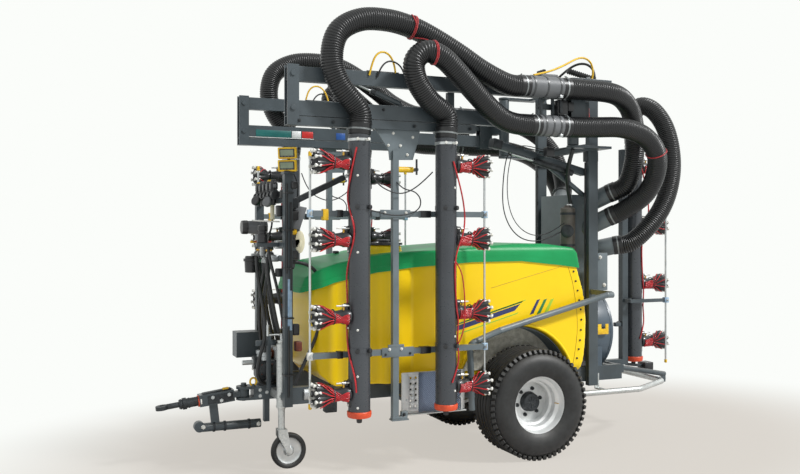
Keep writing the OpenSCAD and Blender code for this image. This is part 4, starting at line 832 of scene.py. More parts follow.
FRONT_A = spots((FRONT_DUCT, -DUCT_Y, DUCT_HIGH), (FRONT_DUCT, -DUCT_Y, DUCT_HIGH + HOSE_D),
    (-1.6, -0.85, 2.7), (-1.655, -0.85, 2.87), (-1.61, -0.85, 3.05), (-1.45, -0.84, 3.15),
    (-1.24, -0.82, 3.17), (-1.05, -0.805, 3.14), (-0.88, -0.815, 3.07), (-0.7, -0.84, 2.97),
    (-0.52, -0.862, 2.86), (-0.316, -COUPLING_Y, A_Z), (-0.16, -COUPLING_Y, A_Z))
FRONT_B = spots((REAR_DUCT, -DUCT_Y, DUCT_HIGH), (REAR_DUCT, -DUCT_Y, DUCT_HIGH + HOSE_D),
    (-0.95, -0.87, 2.63), (-1.06, -0.9, 2.76), (-1.085, -0.93, 2.88), (-1.01, -0.95, 2.95),
    (-0.89, -0.95, 2.92), (-0.77, -0.94, 2.83), (-0.63, -0.92, 2.71), (-0.48, -0.895, 2.59),
    (-0.35, -0.872, 2.52), (-0.221, -COUPLING_Y, B_Z), (-0.065, -COUPLING_Y, B_Z))
REAR_A = [MOUTH_A, MOUTH_A + HOSE_D * WAY_A] + spots((1.04, -0.54, 2.26), (1.02, -0.59, 2.43),
    (0.95, -0.66, 2.59), (0.82, -0.75, 2.71), (0.6, -0.86, 2.77), (0.276, -COUPLING_Y, A_Z),
    (0.12, -COUPLING_Y, A_Z))
REAR_B = [MOUTH_B, MOUTH_B + HOSE_D * WAY_B] + spots((1.11, -0.61, 2.02), (1.13, -0.71, 2.18),
    (1.07, -0.79, 2.34), (0.92, -0.83, 2.46), (0.69, -0.865, 2.51), (0.46, -0.868, 2.505),
    (0.276, -COUPLING_Y, B_Z), (0.12, -COUPLING_Y, B_Z))
FAR_A = [MOUTH_A, MOUTH_A + HOSE_D * WAY_A] + spots((1.05, -0.54, 2.25), (1.01, -0.59, 2.42),
    (0.92, -0.66, 2.57), (0.77, -0.76, 2.69), (0.56, -0.862, 2.76), (0.276, -COUPLING_Y, A_Z),
    (0.12, -COUPLING_Y, A_Z))
FAR_B = [MOUTH_B, MOUTH_B + HOSE_D * WAY_B] + spots((1.1, -0.62, 2.02), (1.1, -0.72, 2.17),
    (1.02, -0.79, 2.32), (0.86, -0.83, 2.43), (0.64, -0.864, 2.49), (0.44, -0.868, 2.495),
    (0.276, -COUPLING_Y, B_Z), (0.12, -COUPLING_Y, B_Z))
TAIL = [MOUTH_T, MOUTH_T + HOSE_D * WAY_T] + spots((1.33, -0.43, 1.8), (1.45, -0.44, 1.98),
    (1.53, -0.42, 2.2), (1.565, -0.37, 2.42), (1.55, -0.31, 2.62), (1.5, -0.22, 2.77),
    (1.455, -0.11, 2.82), (1.45, -0.02, 2.76), (1.46, 0, 2.656), (1.46, 0, 2.5))

for side, _ in SIDES:
    for node, pair, first, second in (
            (f"{side}_front_hoses", (FRONT_A, FRONT_B), f"{side}_turret", f"{side}_boom"),
            (f"{side}_rear_hoses", (REAR_A, REAR_B) if side == "near" else (FAR_A, FAR_B),
                "chassis", f"{side}_turret")):
        for letter, route in zip("ab", pair):
            pieces, ends = ribbed(f"{node}_{letter}", [sided(side, p) for p in route])
            hose = joined(f"{node}_{letter}_ribbed", pieces + clamped(ends, (0.6, 2.2)), None)
            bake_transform(hose)
            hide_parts(node)

pieces, ends = ribbed("tail_hose", TAIL)
hose = joined("tail_hose_ribbed", pieces + clamped(ends, (0.6, 2.2)), "chassis", "tail_hose")

# ---------------------------------------------------------------- spray heads


def spray_head(hand):
    """A spray head on +Z from the duct's axis; +Y is up and hand is the side its hoses are on."""
    body = turned("bell", [(0.068, 0.050), (0.074, 0.053), (0.118, 0.053), (0.124, 0.048),
            (0.150, 0.043), (0.176, 0.040), (0.196, 0.040), (0.210, 0.044), (0.232, 0.055),
            (0.258, 0.068), (0.282, 0.078), (0.300, 0.0835), (0.312, 0.0855), (0.314, 0.083),
            (0.304, 0.076), (0.262, 0.058), (0.216, 0.036), (0.206, 0.012)], black_abs, 32, 50.0)
    # Eight flutes in the bell, one between each two nozzles
    alone(body)
    bpy.ops.object.mode_set(mode="EDIT")
    shape = bmesh.from_edit_mesh(body.data)
    for vertex in shape.verts:
        turn = math.degrees(math.atan2(vertex.co.y, vertex.co.x)) % 45
        vertex.select = vertex.co.z > 0.225 and abs(turn) < 2
    shape.select_flush(True)
    bmesh.update_edit_mesh(body.data)
    bpy.ops.transform.resize(value=(0.86, 0.86, 1), center_override=(0, 0, 0.3))
    bpy.ops.object.mode_set(mode="OBJECT")
    parts = [clad(body, black_abs, 50.0)]
    nozzle = turned("nozzle", [(0.286, 0.007), (0.292, 0.0105), (0.302, 0.0105), (0.304, 0.008),
            (0.318, 0.0085), (0.322, 0.0125), (0.332, 0.0125), (0.334, 0.009)], white_nylon, 12)
    spread = [22.5 + 45 * k for k in range(8)]
    parts += copies(nozzle, [Matrix.Translation(round_the_axis(0, 0.077, a)) for a in spread])
    # The hoses leave a block low on one side, meet at the waist and fan out to the rim
    side = 0 if hand > 0 else 180
    for k, a in enumerate(spread):
        away = (a - side + 180) % 360 - 180
        first = -62 + 11 * k
        meet = 0.30 * away - 14
        course = [(0.088, 0.058, first * 0.9), (0.112, 0.0575, first * 0.8),
            (0.150, 0.053, 0.45 * first + 0.55 * meet), (0.186, 0.0475, meet),
            (0.222, 0.056, 0.6 * meet + 0.4 * away), (0.256, 0.073, 0.2 * meet + 0.8 * away),
            (0.284, 0.084, away), (0.300, 0.080, away)]
        points = [round_the_axis(h, r, side + (t if hand > 0 else -t)) for h, r, t in course]
        parts.append(tube("head_hose", points, 0.0041, red_pu, 3))
    parts.append(turned("tie", [(0.182, 0.0475), (0.183, 0.053), (0.191, 0.053), (0.192, 0.0475)],
            black_abs, 20, ring=True))
    # Saddle plate on the duct with a bolt above and below
    parts.append(block("saddle", (-0.029, -0.092, 0.062), (0.029, 0.092, 0.078), black_abs, 0.004))
    bolt = turned("bolt", [(0.076, 0.0085), (0.0805, 0.0085), (0.0825, 0.0065), (0.086, 0.0055)],
        white_nylon, 6)
    parts += copies(bolt, [Matrix.Translation((0, y, 0)) for y in (-0.078, 0.078)])
    # Valve: black body, brass drop and a white arm that reaches out over the head
    parts += [
        block("valve", (-0.014, 0.048, 0.080), (0.014, 0.088, 0.106), black_abs, 0.004),
        tube("valve_arm", [(hand * 0.016, 0.074, 0.070), (hand * 0.016, 0.074, 0.168)], 0.0052,
            white_nylon, 0),
        tube("valve_drop", [(hand * 0.018, 0.078, 0.118), (hand * 0.018, 0.044, 0.118)], 0.0078,
            brass, 0),
        tube("valve_nut", [(hand * 0.018, 0.074, 0.106), (hand * 0.018, 0.074, 0.128)], 0.0105,
            bright_steel, 0)]
    return joined("spray_head", parts, None)


def head_place(x, y, z, way):
    """Carries a head's +Z to +X or -X of the cart and its +Y up."""
    turn = Matrix(((0, 0, way), (way, 0, 0), (0, 1, 0))).to_4x4()
    return Matrix.Translation(spot(x, y, z)) @ turn


def toward(side, x, y, across, z, reach=0.083):
    """A place beside an upright duct, that far across it as seen from the machine's front."""
    look = LOOK.normalized()
    right = Vector((look.y, -look.x, 0))
    out = max(0.022, math.sqrt(max(0.0, reach ** 2 - across ** 2)))
    place = spot(x, -y, z) + across * right - out * look
    return sided(side, place)


FEED_A = [(-0.014, 2.279), (-0.054, 2.097), (-0.076, 1.928), (-0.030, 1.711), (-0.080, 1.454),
    (-0.080, 1.252), (-0.082, 1.049), (-0.068, 0.900), (-0.028, 0.745), (-0.016, 0.640)]
FEED_B = [(0.049, 2.204), (0.118, 1.936), (0.126, 1.739), (0.064, 1.513), (0.070, 1.210),
    (0.085, 1.091), (0.080, 0.950), (0.085, 0.800), (0.040, 0.660)]
FEED_C = [(0.060, 1.513), (0.112, 1.408), (0.132, 1.200), (0.120, 1.020), (0.070, 0.900)]

for side, sign in SIDES:
    y = sign * DUCT_Y
    heads = []
    for x, way in ((FRONT_DUCT, -1), (REAR_DUCT, 1)):
        heads += copies(spray_head(sign * way), [head_place(x, y, z, way) for z in HEAD_ZS])
    whole = joined(f"{side}_spray_heads", heads, f"{side}_boom", f"{side}_heads")
    feeds = []
    for x, bow, radius in ((FRONT_DUCT, FEED_A, 0.0062), (REAR_DUCT, FEED_B, 0.0058),
            (REAR_DUCT, FEED_C, 0.0045)):
        points = [toward(side, x, DUCT_Y, across, z) for across, z in bow]
        feeds.append(tube("feed", points, radius, red_pu, 6))
    whole = joined(f"{side}_feed_tubes", feeds, f"{side}_boom", f"{side}_feed_lines")

heads = copies(spray_head(-1), [head_place(TAIL_X, 0, z, 1) for z in TAIL_ZS])
whole = joined("tail_spray_heads", heads, "chassis", "tail_heads")
feeds = [tube("feed", [toward("near", TAIL_X, 0, across, z + 0.1) for across, z in FEED_B], 0.006,
        red_pu, 6)]
whole = joined("tail_feed_tubes", feeds, "chassis", "tail_feed_lines")

# ---------------------------------------------------------------- duct trim


def duct_trim(name, x, y, low, high, cap_screws):
    """Cap, foot, top clamp and screws of one upright duct; y is signed."""
    place = at(x, y, 0)
    cap = turned("cap", [(low - 0.010, 0.070), (low - 0.006, 0.0790), (low + 0.010, 0.0835),
            (low + 0.030, 0.0835), (low + 0.034, 0.0805)], orange_pp, 48)
    knob = turned("knob", [(low - 0.050, 0.010), (low - 0.046, 0.018), (low - 0.022, 0.020),
            (low - 0.018, 0.012), (low - 0.006, 0.012)], black_abs, 16)
    ring = turned("clamp", [(high - 0.048, DUCT_R + 0.001), (high - 0.047, DUCT_R + 0.0045),
            (high - 0.029, DUCT_R + 0.0045), (high - 0.028, DUCT_R + 0.001)], bright_steel, 48)
    parts = [cap, knob, ring]
    sign = -1 if y <= 0 else 1
    wing_bolt = turned("wing_bolt", [(0, 0.006), (0.026, 0.006), (0.027, 0.011), (0.036, 0.011),
            (0.038, 0.008)], white_nylon, 6)
    parts += copies(wing_bolt, [outward(high - 0.038, DUCT_R - 0.002, sign * angle)
            for angle in (115, 72)])
    screw = turned("screw", [(0, 0.0085), (0.004, 0.0085), (0.007, 0.005)], white_nylon, 10)
    parts += copies(screw, [outward(z, DUCT_R - 0.0005, -sign * angle) for angle, z in cap_screws])
    return settle(joined(name, parts, None), place)


SCREWS_A = [(-118, z) for z in (2.09, 1.576, 1.056, 0.745, 0.535)]
SCREWS_B = [(-60, z) for z in (2.02, 1.50, 0.98, 0.60)]
for side, sign in SIDES:
    for label, x, screws in (("front", FRONT_DUCT, SCREWS_A), ("rear", REAR_DUCT, SCREWS_B)):
        trim = duct_trim(f"{side}_{label}_duct_trim", x, sign * DUCT_Y, DUCT_LOW, DUCT_HIGH, screws)
        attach(trim, f"{side}_boom")
SCREWS_T = [(-60, z) for z in (2.3, 1.6, 1.1)]
trim = duct_trim("tail_duct_trim", TAIL_X, 0, TAIL_LOW, TAIL_HIGH, SCREWS_T)
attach(trim, "chassis")

# ---------------------------------------------------------------- road wheels

TREAD = [(-0.118, 0.412), (-0.072, 0.415), (-0.070, 0.415), (-0.069, 0.405), (-0.061, 0.405),
    (-0.060, 0.415), (-0.024, 0.415), (-0.023, 0.405), (-0.015, 0.405), (-0.014, 0.415),
    (0.014, 0.415), (0.015, 0.405), (0.023, 0.405), (0.024, 0.415), (0.060, 0.415), (0.061, 0.405),
    (0.069, 0.405), (0.070, 0.415), (0.072, 0.415), (0.118, 0.412)]
LUGS = 56


def wheel():
    """Tyre and rim about +Z, the outer face up."""
    wall = [(-0.150, 0.214), (-0.158, 0.224), (-0.166, 0.240), (-0.176, 0.268), (-0.180, 0.300),
        (-0.177, 0.330), (-0.166, 0.358), (-0.150, 0.376), (-0.134, 0.389), (-0.120, 0.398)]
    carcass = turned("carcass", wall + TREAD + [(-h, r) for h, r in reversed(wall)], tyre_rubber,
        112, 40.0, ring=True)
    lug = block("lug", (-0.014, 0.384, -0.026), (0.014, 0.4155, 0.022), tyre_rubber, 0.003, 1)
    settle(lug, Matrix.Translation((0, 0.398, 0)) @ about("Y", 12) @ about("X", -30)
        @ Matrix.Translation((0, -0.398, 0)))
    upper = settle(lug, Matrix.Translation((0, -0.006, 0.132)))
    places = [Matrix.Rotation(2 * math.pi * k / LUGS, 4, "Z") for k in range(LUGS)]
    turned_over = Matrix.Rotation(math.pi, 4, "Y")
    half_step = Matrix.Rotation(math.pi / LUGS, 4, "Z")
    lugs = copies(upper, places + [turned_over @ half_step @ p for p in places])
    tyre = joined("tyre", [carcass] + lugs, None)

    shell = [(0.154, 0.236), (0.156, 0.2385), (0.152, 0.2385), (0.147, 0.232), (0.143, 0.216),
        (0.090, 0.214), (0.080, 0.196), (-0.143, 0.196), (-0.147, 0.232), (-0.152, 0.2385),
        (-0.156, 0.236), (-0.150, 0.206), (-0.060, 0.186), (-0.036, 0.158), (-0.024, 0.150),
        (0.030, 0.152), (0.036, 0.157), (0.042, 0.168), (0.086, 0.173), (0.094, 0.180),
        (0.100, 0.196), (0.108, 0.201), (0.136, 0.206), (0.146, 0.212), (0.150, 0.226)]
    barrel = turned("barrel", shell, silver_paint, 96, 30.0, ring=True)
    disc = turned("disc", [(-0.036, 0.155), (-0.024, 0.155), (-0.021, 0.150), (-0.021, 0.082),
            (-0.017, 0.078), (-0.016, 0.070)], silver_paint, 96)
    stud = turned("wheel_bolt", [(-0.024, 0.0165), (-0.017, 0.0165), (-0.017, 0.0125),
            (-0.004, 0.0125), (-0.002, 0.010), (-0.002, 0.0065), (0.006, 0.006)], forged_steel, 6)
    studs = copies(stud, [about("Z", 60 * k + 12) @ Matrix.Translation((0.1025, 0, 0))
            for k in range(6)])
    hub = turned("hub_cap", [(-0.028, 0.078), (-0.018, 0.078), (-0.014, 0.072), (0.022, 0.070),
            (0.032, 0.066), (0.036, 0.058), (0.036, 0.046), (0.032, 0.044), (0.032, 0.014),
            (0.035, 0.012)], forged_steel, 48)
    ribs = copies(block("hub_rib", (-0.003, 0.012, 0.030), (0.003, 0.048, 0.036), forged_steel,
            0.001, 1), [about("Z", 45 * k) for k in range(8)])
    valve = tube("valve_stem", [(0.150, 0.0, 0.112), (0.158, 0.0, 0.128), (0.160, 0.0, 0.148)],
        0.004, brass, 4)
    back = turned("drum", [(-0.150, 0.058), (-0.120, 0.062), (-0.115, 0.100), (-0.040, 0.104),
            (-0.036, 0.090)], forged_steel, 48)
    rim = joined("rim", [barrel, disc, hub, valve, back] + studs + ribs, None)
    return tyre, rim


for side, sign in SIDES:
    tyre, rim = wheel()
    place = facing(spot(0, sign * WHEEL_Y, WHEEL_R), (0, sign, 0))
    for piece, node, slot in ((tyre, "tyre", "tyre"), (rim, "rim", "rim_paint")):
        settle(piece, place)
        piece = joined(f"{side}_road_{node}", [piece], f"{side}_wheel", f"{side}_{node}")

# ---------------------------------------------------------------- tank and hood


def outer_skin(node, name):
    """The outer skin of a hollow moulding, without its inner wall; a hood is open below."""
    piece = merged_copy(node, name)
    shape = bmesh.new()
    shape.from_mesh(piece.data)
    wall = BVHTree.FromBMesh(shape)
    inner = []
    for face in shape.faces:
        hit = wall.ray_cast(face.calc_center_median() + face.normal * 0.0005, face.normal)
        if (hit[0] is not None and hit[3] > 0.05) or (node == "tank_hood" and face.normal.z < -0.2):
            inner.append(face)
    bmesh.ops.delete(shape, geom=inner, context="FACES")
    shape.to_mesh(piece.data)
    shape.free()
    alone(piece)
    bpy.ops.object.mode_set(mode="EDIT")
    return piece


def closed(piece, voxel, rounds):
    """Closes the form that is in edit mode and melts its corners together."""
    bpy.ops.mesh.select_all(action="SELECT")
    bpy.ops.mesh.fill_holes(sides=0)
    faces_out()
    return applied(piece, ("REMESH", {"mode": "VOXEL", "voxel_size": voxel}),
        ("SMOOTH", {"factor": 0.5, "iterations": rounds}))


def plate(name, outline, depth, finish_of, edge=0.0):
    """A plate with that outline in X and Y, and +Z its depth."""
    alone()
    bpy.ops.mesh.primitive_circle_add(vertices=len(outline), radius=1, fill_type="NGON")
    piece = bpy.context.active_object
    piece.name = name
    for corner, (x, y) in zip(piece.data.vertices, outline):
        corner.co = (x, y, 0)
    edit_all()
    bpy.ops.mesh.extrude_region_move(TRANSFORM_OT_translate={"value": (0, 0, depth)})
    bpy.ops.mesh.select_all(action="SELECT")
    bpy.ops.mesh.normals_make_consistent(inside=False)
    if edge:
        bpy.ops.mesh.bevel(offset=edge, segments=2, affect="EDGES")
    bpy.ops.object.mode_set(mode="OBJECT")
    return clad(piece, finish_of)


def upright(y):
    """Carries a plate drawn in X and Y into the plane of that Y, drawn in X and Z."""
    return at(0, y, 0) @ about("X")


tank = closed(outer_skin("tank", "moulded_tank"), 0.011, 6)
clad(tank, yellow_poly, 180.0)
joined("moulded_tank", [tank], "chassis", "tank")

# The hood: its skin is drawn down to a closed form, melted, and cut off again at its edge
HOOD_EDGE = [(0.50, 1.424), (0.462, 1.428), (0.297, 1.450), (-0.062, 1.488), (-0.491, 1.486),
    (-0.819, 1.462), (-1.173, 1.417), (-1.512, 1.347), (-1.80, 1.240)]
hood = outer_skin("tank_hood", "moulded_hood")
bpy.ops.mesh.select_all(action="DESELECT")
shape = bmesh.from_edit_mesh(hood.data)
for side_edge in shape.edges:
    side_edge.select = side_edge.is_boundary and sum(v.co.z for v in side_edge.verts) < 3.03
shape.select_flush(True)
bmesh.update_edit_mesh(hood.data)
bpy.ops.mesh.extrude_region_move(TRANSFORM_OT_translate={"value": (0, 0, -0.35)})
closed(hood, 0.012, 10)


def above_edge(piece, drop, lift):
    """Keeps what lies between drop below and lift above the hood's edge."""
    outline = [(x, z - drop) for x, z in HOOD_EDGE]
    outline += [(x, z + lift) for x, z in reversed(HOOD_EDGE)]
    keeper = settle(plate("keeper", outline, 1.6, black_abs), upright(0.8))
    applied(piece, ("BOOLEAN", {"operation": "INTERSECT", "object": keeper, "solver": "EXACT"}))
    bpy.data.objects.remove(keeper)


lip = hood.copy()
lip.data = hood.data.copy()
into_scene(lip)
above_edge(hood, 0.0, 0.5)
applied(lip, ("DISPLACE", {"strength": 0.004, "mid_level": 0.0}))
above_edge(lip, 0.0, 0.040)
for piece in (hood, lip):
    clad(piece, green_poly, 40.0)
hood = joined("moulded_hood", [hood, lip], "chassis", "tank_hood")

# ---------------------------------------------------------------- tank dressing

ARCH_X, ARCH_Z, ARCH_R = -0.100, 0.490, 0.505
TANK_HALF = 0.620
RAIL_OUT, RAIL_LOW = 0.365, 0.480


def arc(x, z, radius, first, last, steps):
    """Places in X and Z on an arc, its angles in degrees from +X."""
    turns = [math.radians(first + (last - first) * k / steps) for k in range(steps + 1)]
    return [(x + radius * math.cos(a), z + radius * math.sin(a)) for a in turns]


def hexes(places, direction, radius, finish_of):
    """Hexagon nuts on washers at the places, facing one way."""
    nut = turned("nut", [(0, 1.45 * radius), (0.25 * radius, 1.4 * radius),
            (0.26 * radius, radius), (0.95 * radius, radius), (1.1 * radius, 0.85 * radius),
            (1.12 * radius, 0.55 * radius), (1.6 * radius, 0.5 * radius)], finish_of, 6, 20.0)
    return copies(nut, [facing(p, direction) for p in places])


def ring_clamp(name, place, direction, radius, width, finish_of, thick=0.004):
    """A flat ring about a tube."""
    ring = turned(name, [(-width / 2, radius), (-width / 2, radius + thick),
            (width / 2, radius + thick), (width / 2, radius)], finish_of, 32, ring=True)
    return settle(ring, facing(place, direction))


def link(name, centre, half_wide, half_high, radius, finish_of):
    """A closed oval of round bar, upright and along the machine."""
    x, y, z = centre
    course = [spot(x + half_wide * math.cos(a), y, z + half_high * math.sin(a))
        for a in [2 * math.pi * k / 20 for k in range(20)]]
    return tube(name, course, radius, finish_of, 0, closed=True)


trim = []
for _, sign in SIDES:
    y = sign * TANK_HALF
    # Raised lip round the wheel arch, and the mould's parting line and rear flange line, both drawn
    # in a darker yellow that is painted shade of their creases
    lip = [spot(x, y, z) for x, z in arc(ARCH_X, ARCH_Z, ARCH_R + 0.012, 13, 167, 36)]
    trim += [
        tube("arch_lip", lip, 0.013, yellow_poly, 0),
        tube("parting_line", spots((-0.324, y, 1.289), (0.339, y, 1.452)), 0.0022, crease_shade_yellow, 0),
        tube("flange_line", [spot(x, y, z) for x, z in ((0.352, 1.452), (0.395, 1.33),
                    (0.425, 1.18), (0.444, 1.0), (0.434, 0.85), (0.405, 0.68))], 0.0024,
            crease_shade_yellow, 5)]
    back = [(0.408, 1.40), (0.428, 1.325), (0.446, 1.25), (0.461, 1.175), (0.474, 1.10),
        (0.480, 1.02), (0.476, 0.94), (0.468, 0.86), (0.456, 0.79), (0.440, 0.72)]
    trim += hexes([spot(x, y + sign * 0.001, z) for x, z in back], (0, sign, 0), 0.0062,
        forged_steel)
    # Plain slanted stripes along the side
    stripe_plane = upright(y + (0.0002 if sign < 0 else 0.0014))
    for x0, z0, long, deep, finish_of in (
            (-0.74, 0.945, 0.62, 0.050, stripe_navy), (-0.70, 0.925, 0.60, 0.012, stripe_lime),
            (-0.66, 1.010, 0.60, 0.014, stripe_green), (-0.55, 1.045, 0.52, 0.009, stripe_lime)):
        rise = 0.27 * long
        outline = [(x0, z0), (x0 + long, z0 + rise), (x0 + long + deep, z0 + rise + deep),
            (x0 + deep, z0 + deep)]
        trim.append(settle(plate("stripe", outline, 0.0016, finish_of), stripe_plane))
    for k, finish_of in enumerate((stripe_navy, stripe_green, stripe_lime)):
        x0 = 0.010 + 0.062 * k
        outline = [(x0, 1.075), (x0 + 0.034, 1.085), (x0 + 0.094, 1.195), (x0 + 0.066, 1.187)]
        trim.append(settle(plate("stripe", outline, 0.0016, finish_of), stripe_plane))
    # Pale mudguard liner inside the arch
    half_moon = arc(ARCH_X, ARCH_Z, 0.484, 19, 161, 36)
    liner = settle(plate("liner", half_moon, 0.003, grey_poly),
        upright(sign * 0.4345 + (0.0 if sign < 0 else 0.003)))
    trim.append(liner)
    hood_line = [spot(x, sign * 0.4365, z) for x, z in arc(ARCH_X, ARCH_Z, 0.40, 25, 155, 30)]
    trim.append(tube("liner_bead", hood_line, 0.006, grey_poly, 0))
for _, sign in SIDES:
    trim.append(block("hold_down", spot(-1.255, sign * 0.30, 1.535),
            spot(-1.215, sign * 0.30 + 0.05, 1.556), black_abs, 0.004))
joined("tank_dressing", trim, "chassis")
lid_grip = turned("lid_grip", [(1.640, 0.020), (1.641, 0.052), (1.648, 0.055), (1.654, 0.050),
        (1.655, 0.020)], grey_pvc, 8)
joined("lid_grip", [settle(lid_grip, at(-1.05, -0.26, 0))], "lid")

# ---------------------------------------------------------------- step plate

STEP_Y = -TANK_HALF - 0.018
frame_plate = block("step_frame", spot(-1.060, STEP_Y, 0.400), spot(-0.560, STEP_Y + 0.004, 0.700),
    zinc, 0.001, 1)
holed = block("holed_strip", spot(-1.012, STEP_Y - 0.003, 0.420),
    spot(-0.930, STEP_Y + 0.003, 0.690), silver_paint, 0.001, 1)
cutter = turned("cutter", [(-0.03, 0.0085), (0.03, 0.0085)], black_abs, 14)
cutters = copies(cutter, [facing(spot(x, STEP_Y, 0.455 + 0.041 * k), (0, 1, 0))
        for x in (-0.991, -0.951) for k in range(6)])
cutters = joined("cutters", cutters, None)
for piece in (frame_plate, holed):
    applied(piece, ("BOOLEAN", {"operation": "DIFFERENCE", "object": cutters, "solver": "EXACT"}))
bpy.data.objects.remove(cutters)
step = [frame_plate, holed]
step += [
    # Blue-grey tread sheet: painted shadow of the rear duct on the step plate
    block("tread_sheet", spot(-0.928, STEP_Y - 0.004, 0.410), spot(-0.590, STEP_Y, 0.695),
        studded_shadow_sheet, 0.0015, 1),
    block("step_end", spot(-0.590, STEP_Y - 0.010, 0.400), spot(-0.560, STEP_Y + 0.002, 0.700),
        silver_paint, 0.002),
    block("step_left", spot(-1.065, STEP_Y - 0.014, 0.400), spot(-1.014, STEP_Y - 0.003, 0.700),
        silver_paint, 0.002),
    block("step_top", spot(-1.060, STEP_Y - 0.010, 0.690), spot(-0.930, STEP_Y + 0.002, 0.702),
        silver_paint, 0.002),
    block("step_tread", spot(-1.060, STEP_Y - 0.040, 0.400), spot(-0.560, STEP_Y, 0.408), zinc,
        0.0015, 1)]
for x in (-1.040, -0.610):
    step.append(block("step_arm", spot(x, STEP_Y + 0.004, RAIL_LOW + 0.010),
            spot(x + 0.030, -RAIL_OUT, RAIL_LOW + 0.040), slate, 0.003))
    step += hexes([spot(x + 0.015, STEP_Y - 0.012, 0.505)], (0, -1, 0), 0.008, bright_steel)
step = joined("perforated_step", step, "chassis", "step")

# ---------------------------------------------------------------- boom trim

ROD_F, ROD_R, BAR_Y = -1.773, -0.445, 0.740
CROSS_ZS = (0.873, 1.837)
SIGN_Y = 0.7115


def arm_trim(side, sign):
    """Bolts, sleeves, clamps, caps and signs of one arm; y is measured outwards on its side."""
    out = (0, sign, 0)

    def place(x, y, z):
        return sided(side, spot(x, -y, z))

    def slab(name, x0, x1, y0, y1, z0, z1, finish_of, edge=0.002):
        return block(name, place(x0, y0, z0), place(x1, y1, z1), finish_of, edge)

    trim = []
    # Gusset bolts, L handle with a yellow grip
    trim += hexes([place(x, 0.7461, z) for x, z in ((-1.169, 2.403), (-1.206, 2.317),
                (-1.115, 2.317), (-1.062, 2.255), (-1.14, 2.255), (-1.02, 2.38))], out, 0.008,
        white_nylon)
    trim += [
        tube("grip", [place(-1.135, BAR_Y, 2.150), place(-1.018, BAR_Y, 2.150)], 0.021, yellow_pp,
            0),
        tube("handle_rod", [place(-1.009, 0.7875, 2.222), place(-1.009, 0.7875, 2.112)], 0.0075,
            black_abs, 0)]
    # Plates that tie the crossbars to the centre bar
    trim += [
        slab("lower_tie", -1.262, -1.020, 0.760, 0.768, 0.838, 0.905, slate_pale),
        slab("lower_tie_lug", -1.215, -1.095, 0.760, 0.768, 0.905, 0.925, slate_pale)]
    trim += hexes([place(x, 0.768, 0.893) for x in (-1.205, -1.115)], out, 0.008, white_nylon)
    trim += hexes([place(x, 0.768, 0.858) for x in (-1.235, -1.050)], out, 0.007, forged_steel)
    trim.append(slab("upper_tie", -1.274, -1.047, 0.760, 0.766, 1.812, 1.866, slate_pale))
    trim += hexes([place(x, 0.766, 1.845) for x in (-1.240, -1.080)], out, 0.008, white_nylon)
    # Dark sleeves where the crossbars meet the ducts
    for z in CROSS_ZS:
        for x0, x1 in ((-0.965, -0.885), (-1.375, -1.335), (-1.585, -1.545), (-0.735, -0.695)):
            trim.append(slab("sleeve", x0, x1, 0.715, 0.765, z - 0.025, z + 0.025, black_abs,
                    0.004))
        for x in (FRONT_DUCT, REAR_DUCT):
            band = turned("saddle_band", [(-0.016, DUCT_R + 0.0005), (-0.016, DUCT_R + 0.003),
                    (0.016, DUCT_R + 0.003), (0.016, DUCT_R + 0.0005)], duct_paint, 48, ring=True)
            trim.append(settle(band, Matrix.Translation(place(x, DUCT_Y, z + 0.042))))
            knob = turned("clamp_knob", [(0, 0.012), (0.008, 0.012), (0.009, 0.016),
                    (0.022, 0.016), (0.024, 0.012)], black_abs, 10)
            duct = Matrix.Translation(place(x, DUCT_Y, z + 0.042))
            trim += copies(knob, [duct @ outward(0, DUCT_R + 0.002, -sign * angle)
                    for angle in (-118, -58)])
    # Deflector rods: clamps where the crossbars hold them, caps at their ends
    for x, z, finish_of in ((ROD_F, CROSS_ZS[1], sky_nylon), (ROD_F, CROSS_ZS[0], white_nylon),
            (ROD_R, CROSS_ZS[1], sky_nylon), (ROD_R, CROSS_ZS[0], sky_nylon)):
        trim.append(slab("rod_clamp", x - 0.020, x + 0.020, 0.722, 0.760, z - 0.026, z + 0.026,
                finish_of, 0.006))
        trim += hexes([place(x, 0.760, z)], out, 0.009, bright_steel)
        trim.append(tube("clamp_wing", [place(x, 0.775, z - 0.018), place(x, 0.775, z + 0.018)],
                0.0045, bright_steel, 0))
    for x in (ROD_F, ROD_R):
        for z, way in ((0.524, -1), (2.246, 1)):
            cap = turned("rod_cap", [(-0.028, 0.0082), (-0.027, 0.0125), (0.004, 0.0125),
                    (0.010, 0.008)], yellow_pp, 16)
            trim.append(settle(cap, facing(place(x, BAR_Y, z), (0, 0, way))))
    # Yellow latch that hangs on the upper crossbar
    trim.append(slab("latch", -1.688, -1.648, 0.716, 0.766, 1.790, 1.868, yellow_pp, 0.006))
    # Foot of the centre bar
    trim += [
        slab("foot_pad", -1.180, -1.066, 0.716, 0.764, 0.392, 0.418, slate_pale, 0.004),
        slab("foot_toe", -1.110, -1.062, 0.722, 0.758, 0.404, 0.452, slate_pale, 0.006)]
    trim += hexes([place(-1.092, 0.758, 0.430)], out, 0.009, forged_steel)
    # Lugs under the slide rail
    trim += hexes([place(x, 0.7815, 2.455) for x in (-1.86, -1.62, -1.35, -1.02, -0.78, -0.58)],
        out, 0.009, forged_steel)
    joined(f"{side}_boom_trim", trim, f"{side}_boom")

    # The two beams and the turret
    trim = hexes([place(x, 0.768, 2.77) for x in (-1.55, -1.00, -0.45, 0.10)], out, 0.009,
        forged_steel)
    trim += [
        slab("upper_end", -1.932, -1.922, 0.714, 0.766, 2.722, 2.818, black_abs),
        slab("hose_bracket", -1.37, -1.13, 0.722, 0.758, 2.818, 2.828, forged_steel)]
    joined(f"{side}_upper_beam_trim", trim, f"{side}_upper")
    trim = [slab("lower_end", -1.932, -1.922, 0.714, 0.766, 2.492, 2.588, black_abs)]
    trim += hexes([place(x, 0.768, 2.56) for x in (-1.25, -0.72, -0.20, 0.12)], out, 0.009,
        forged_steel)
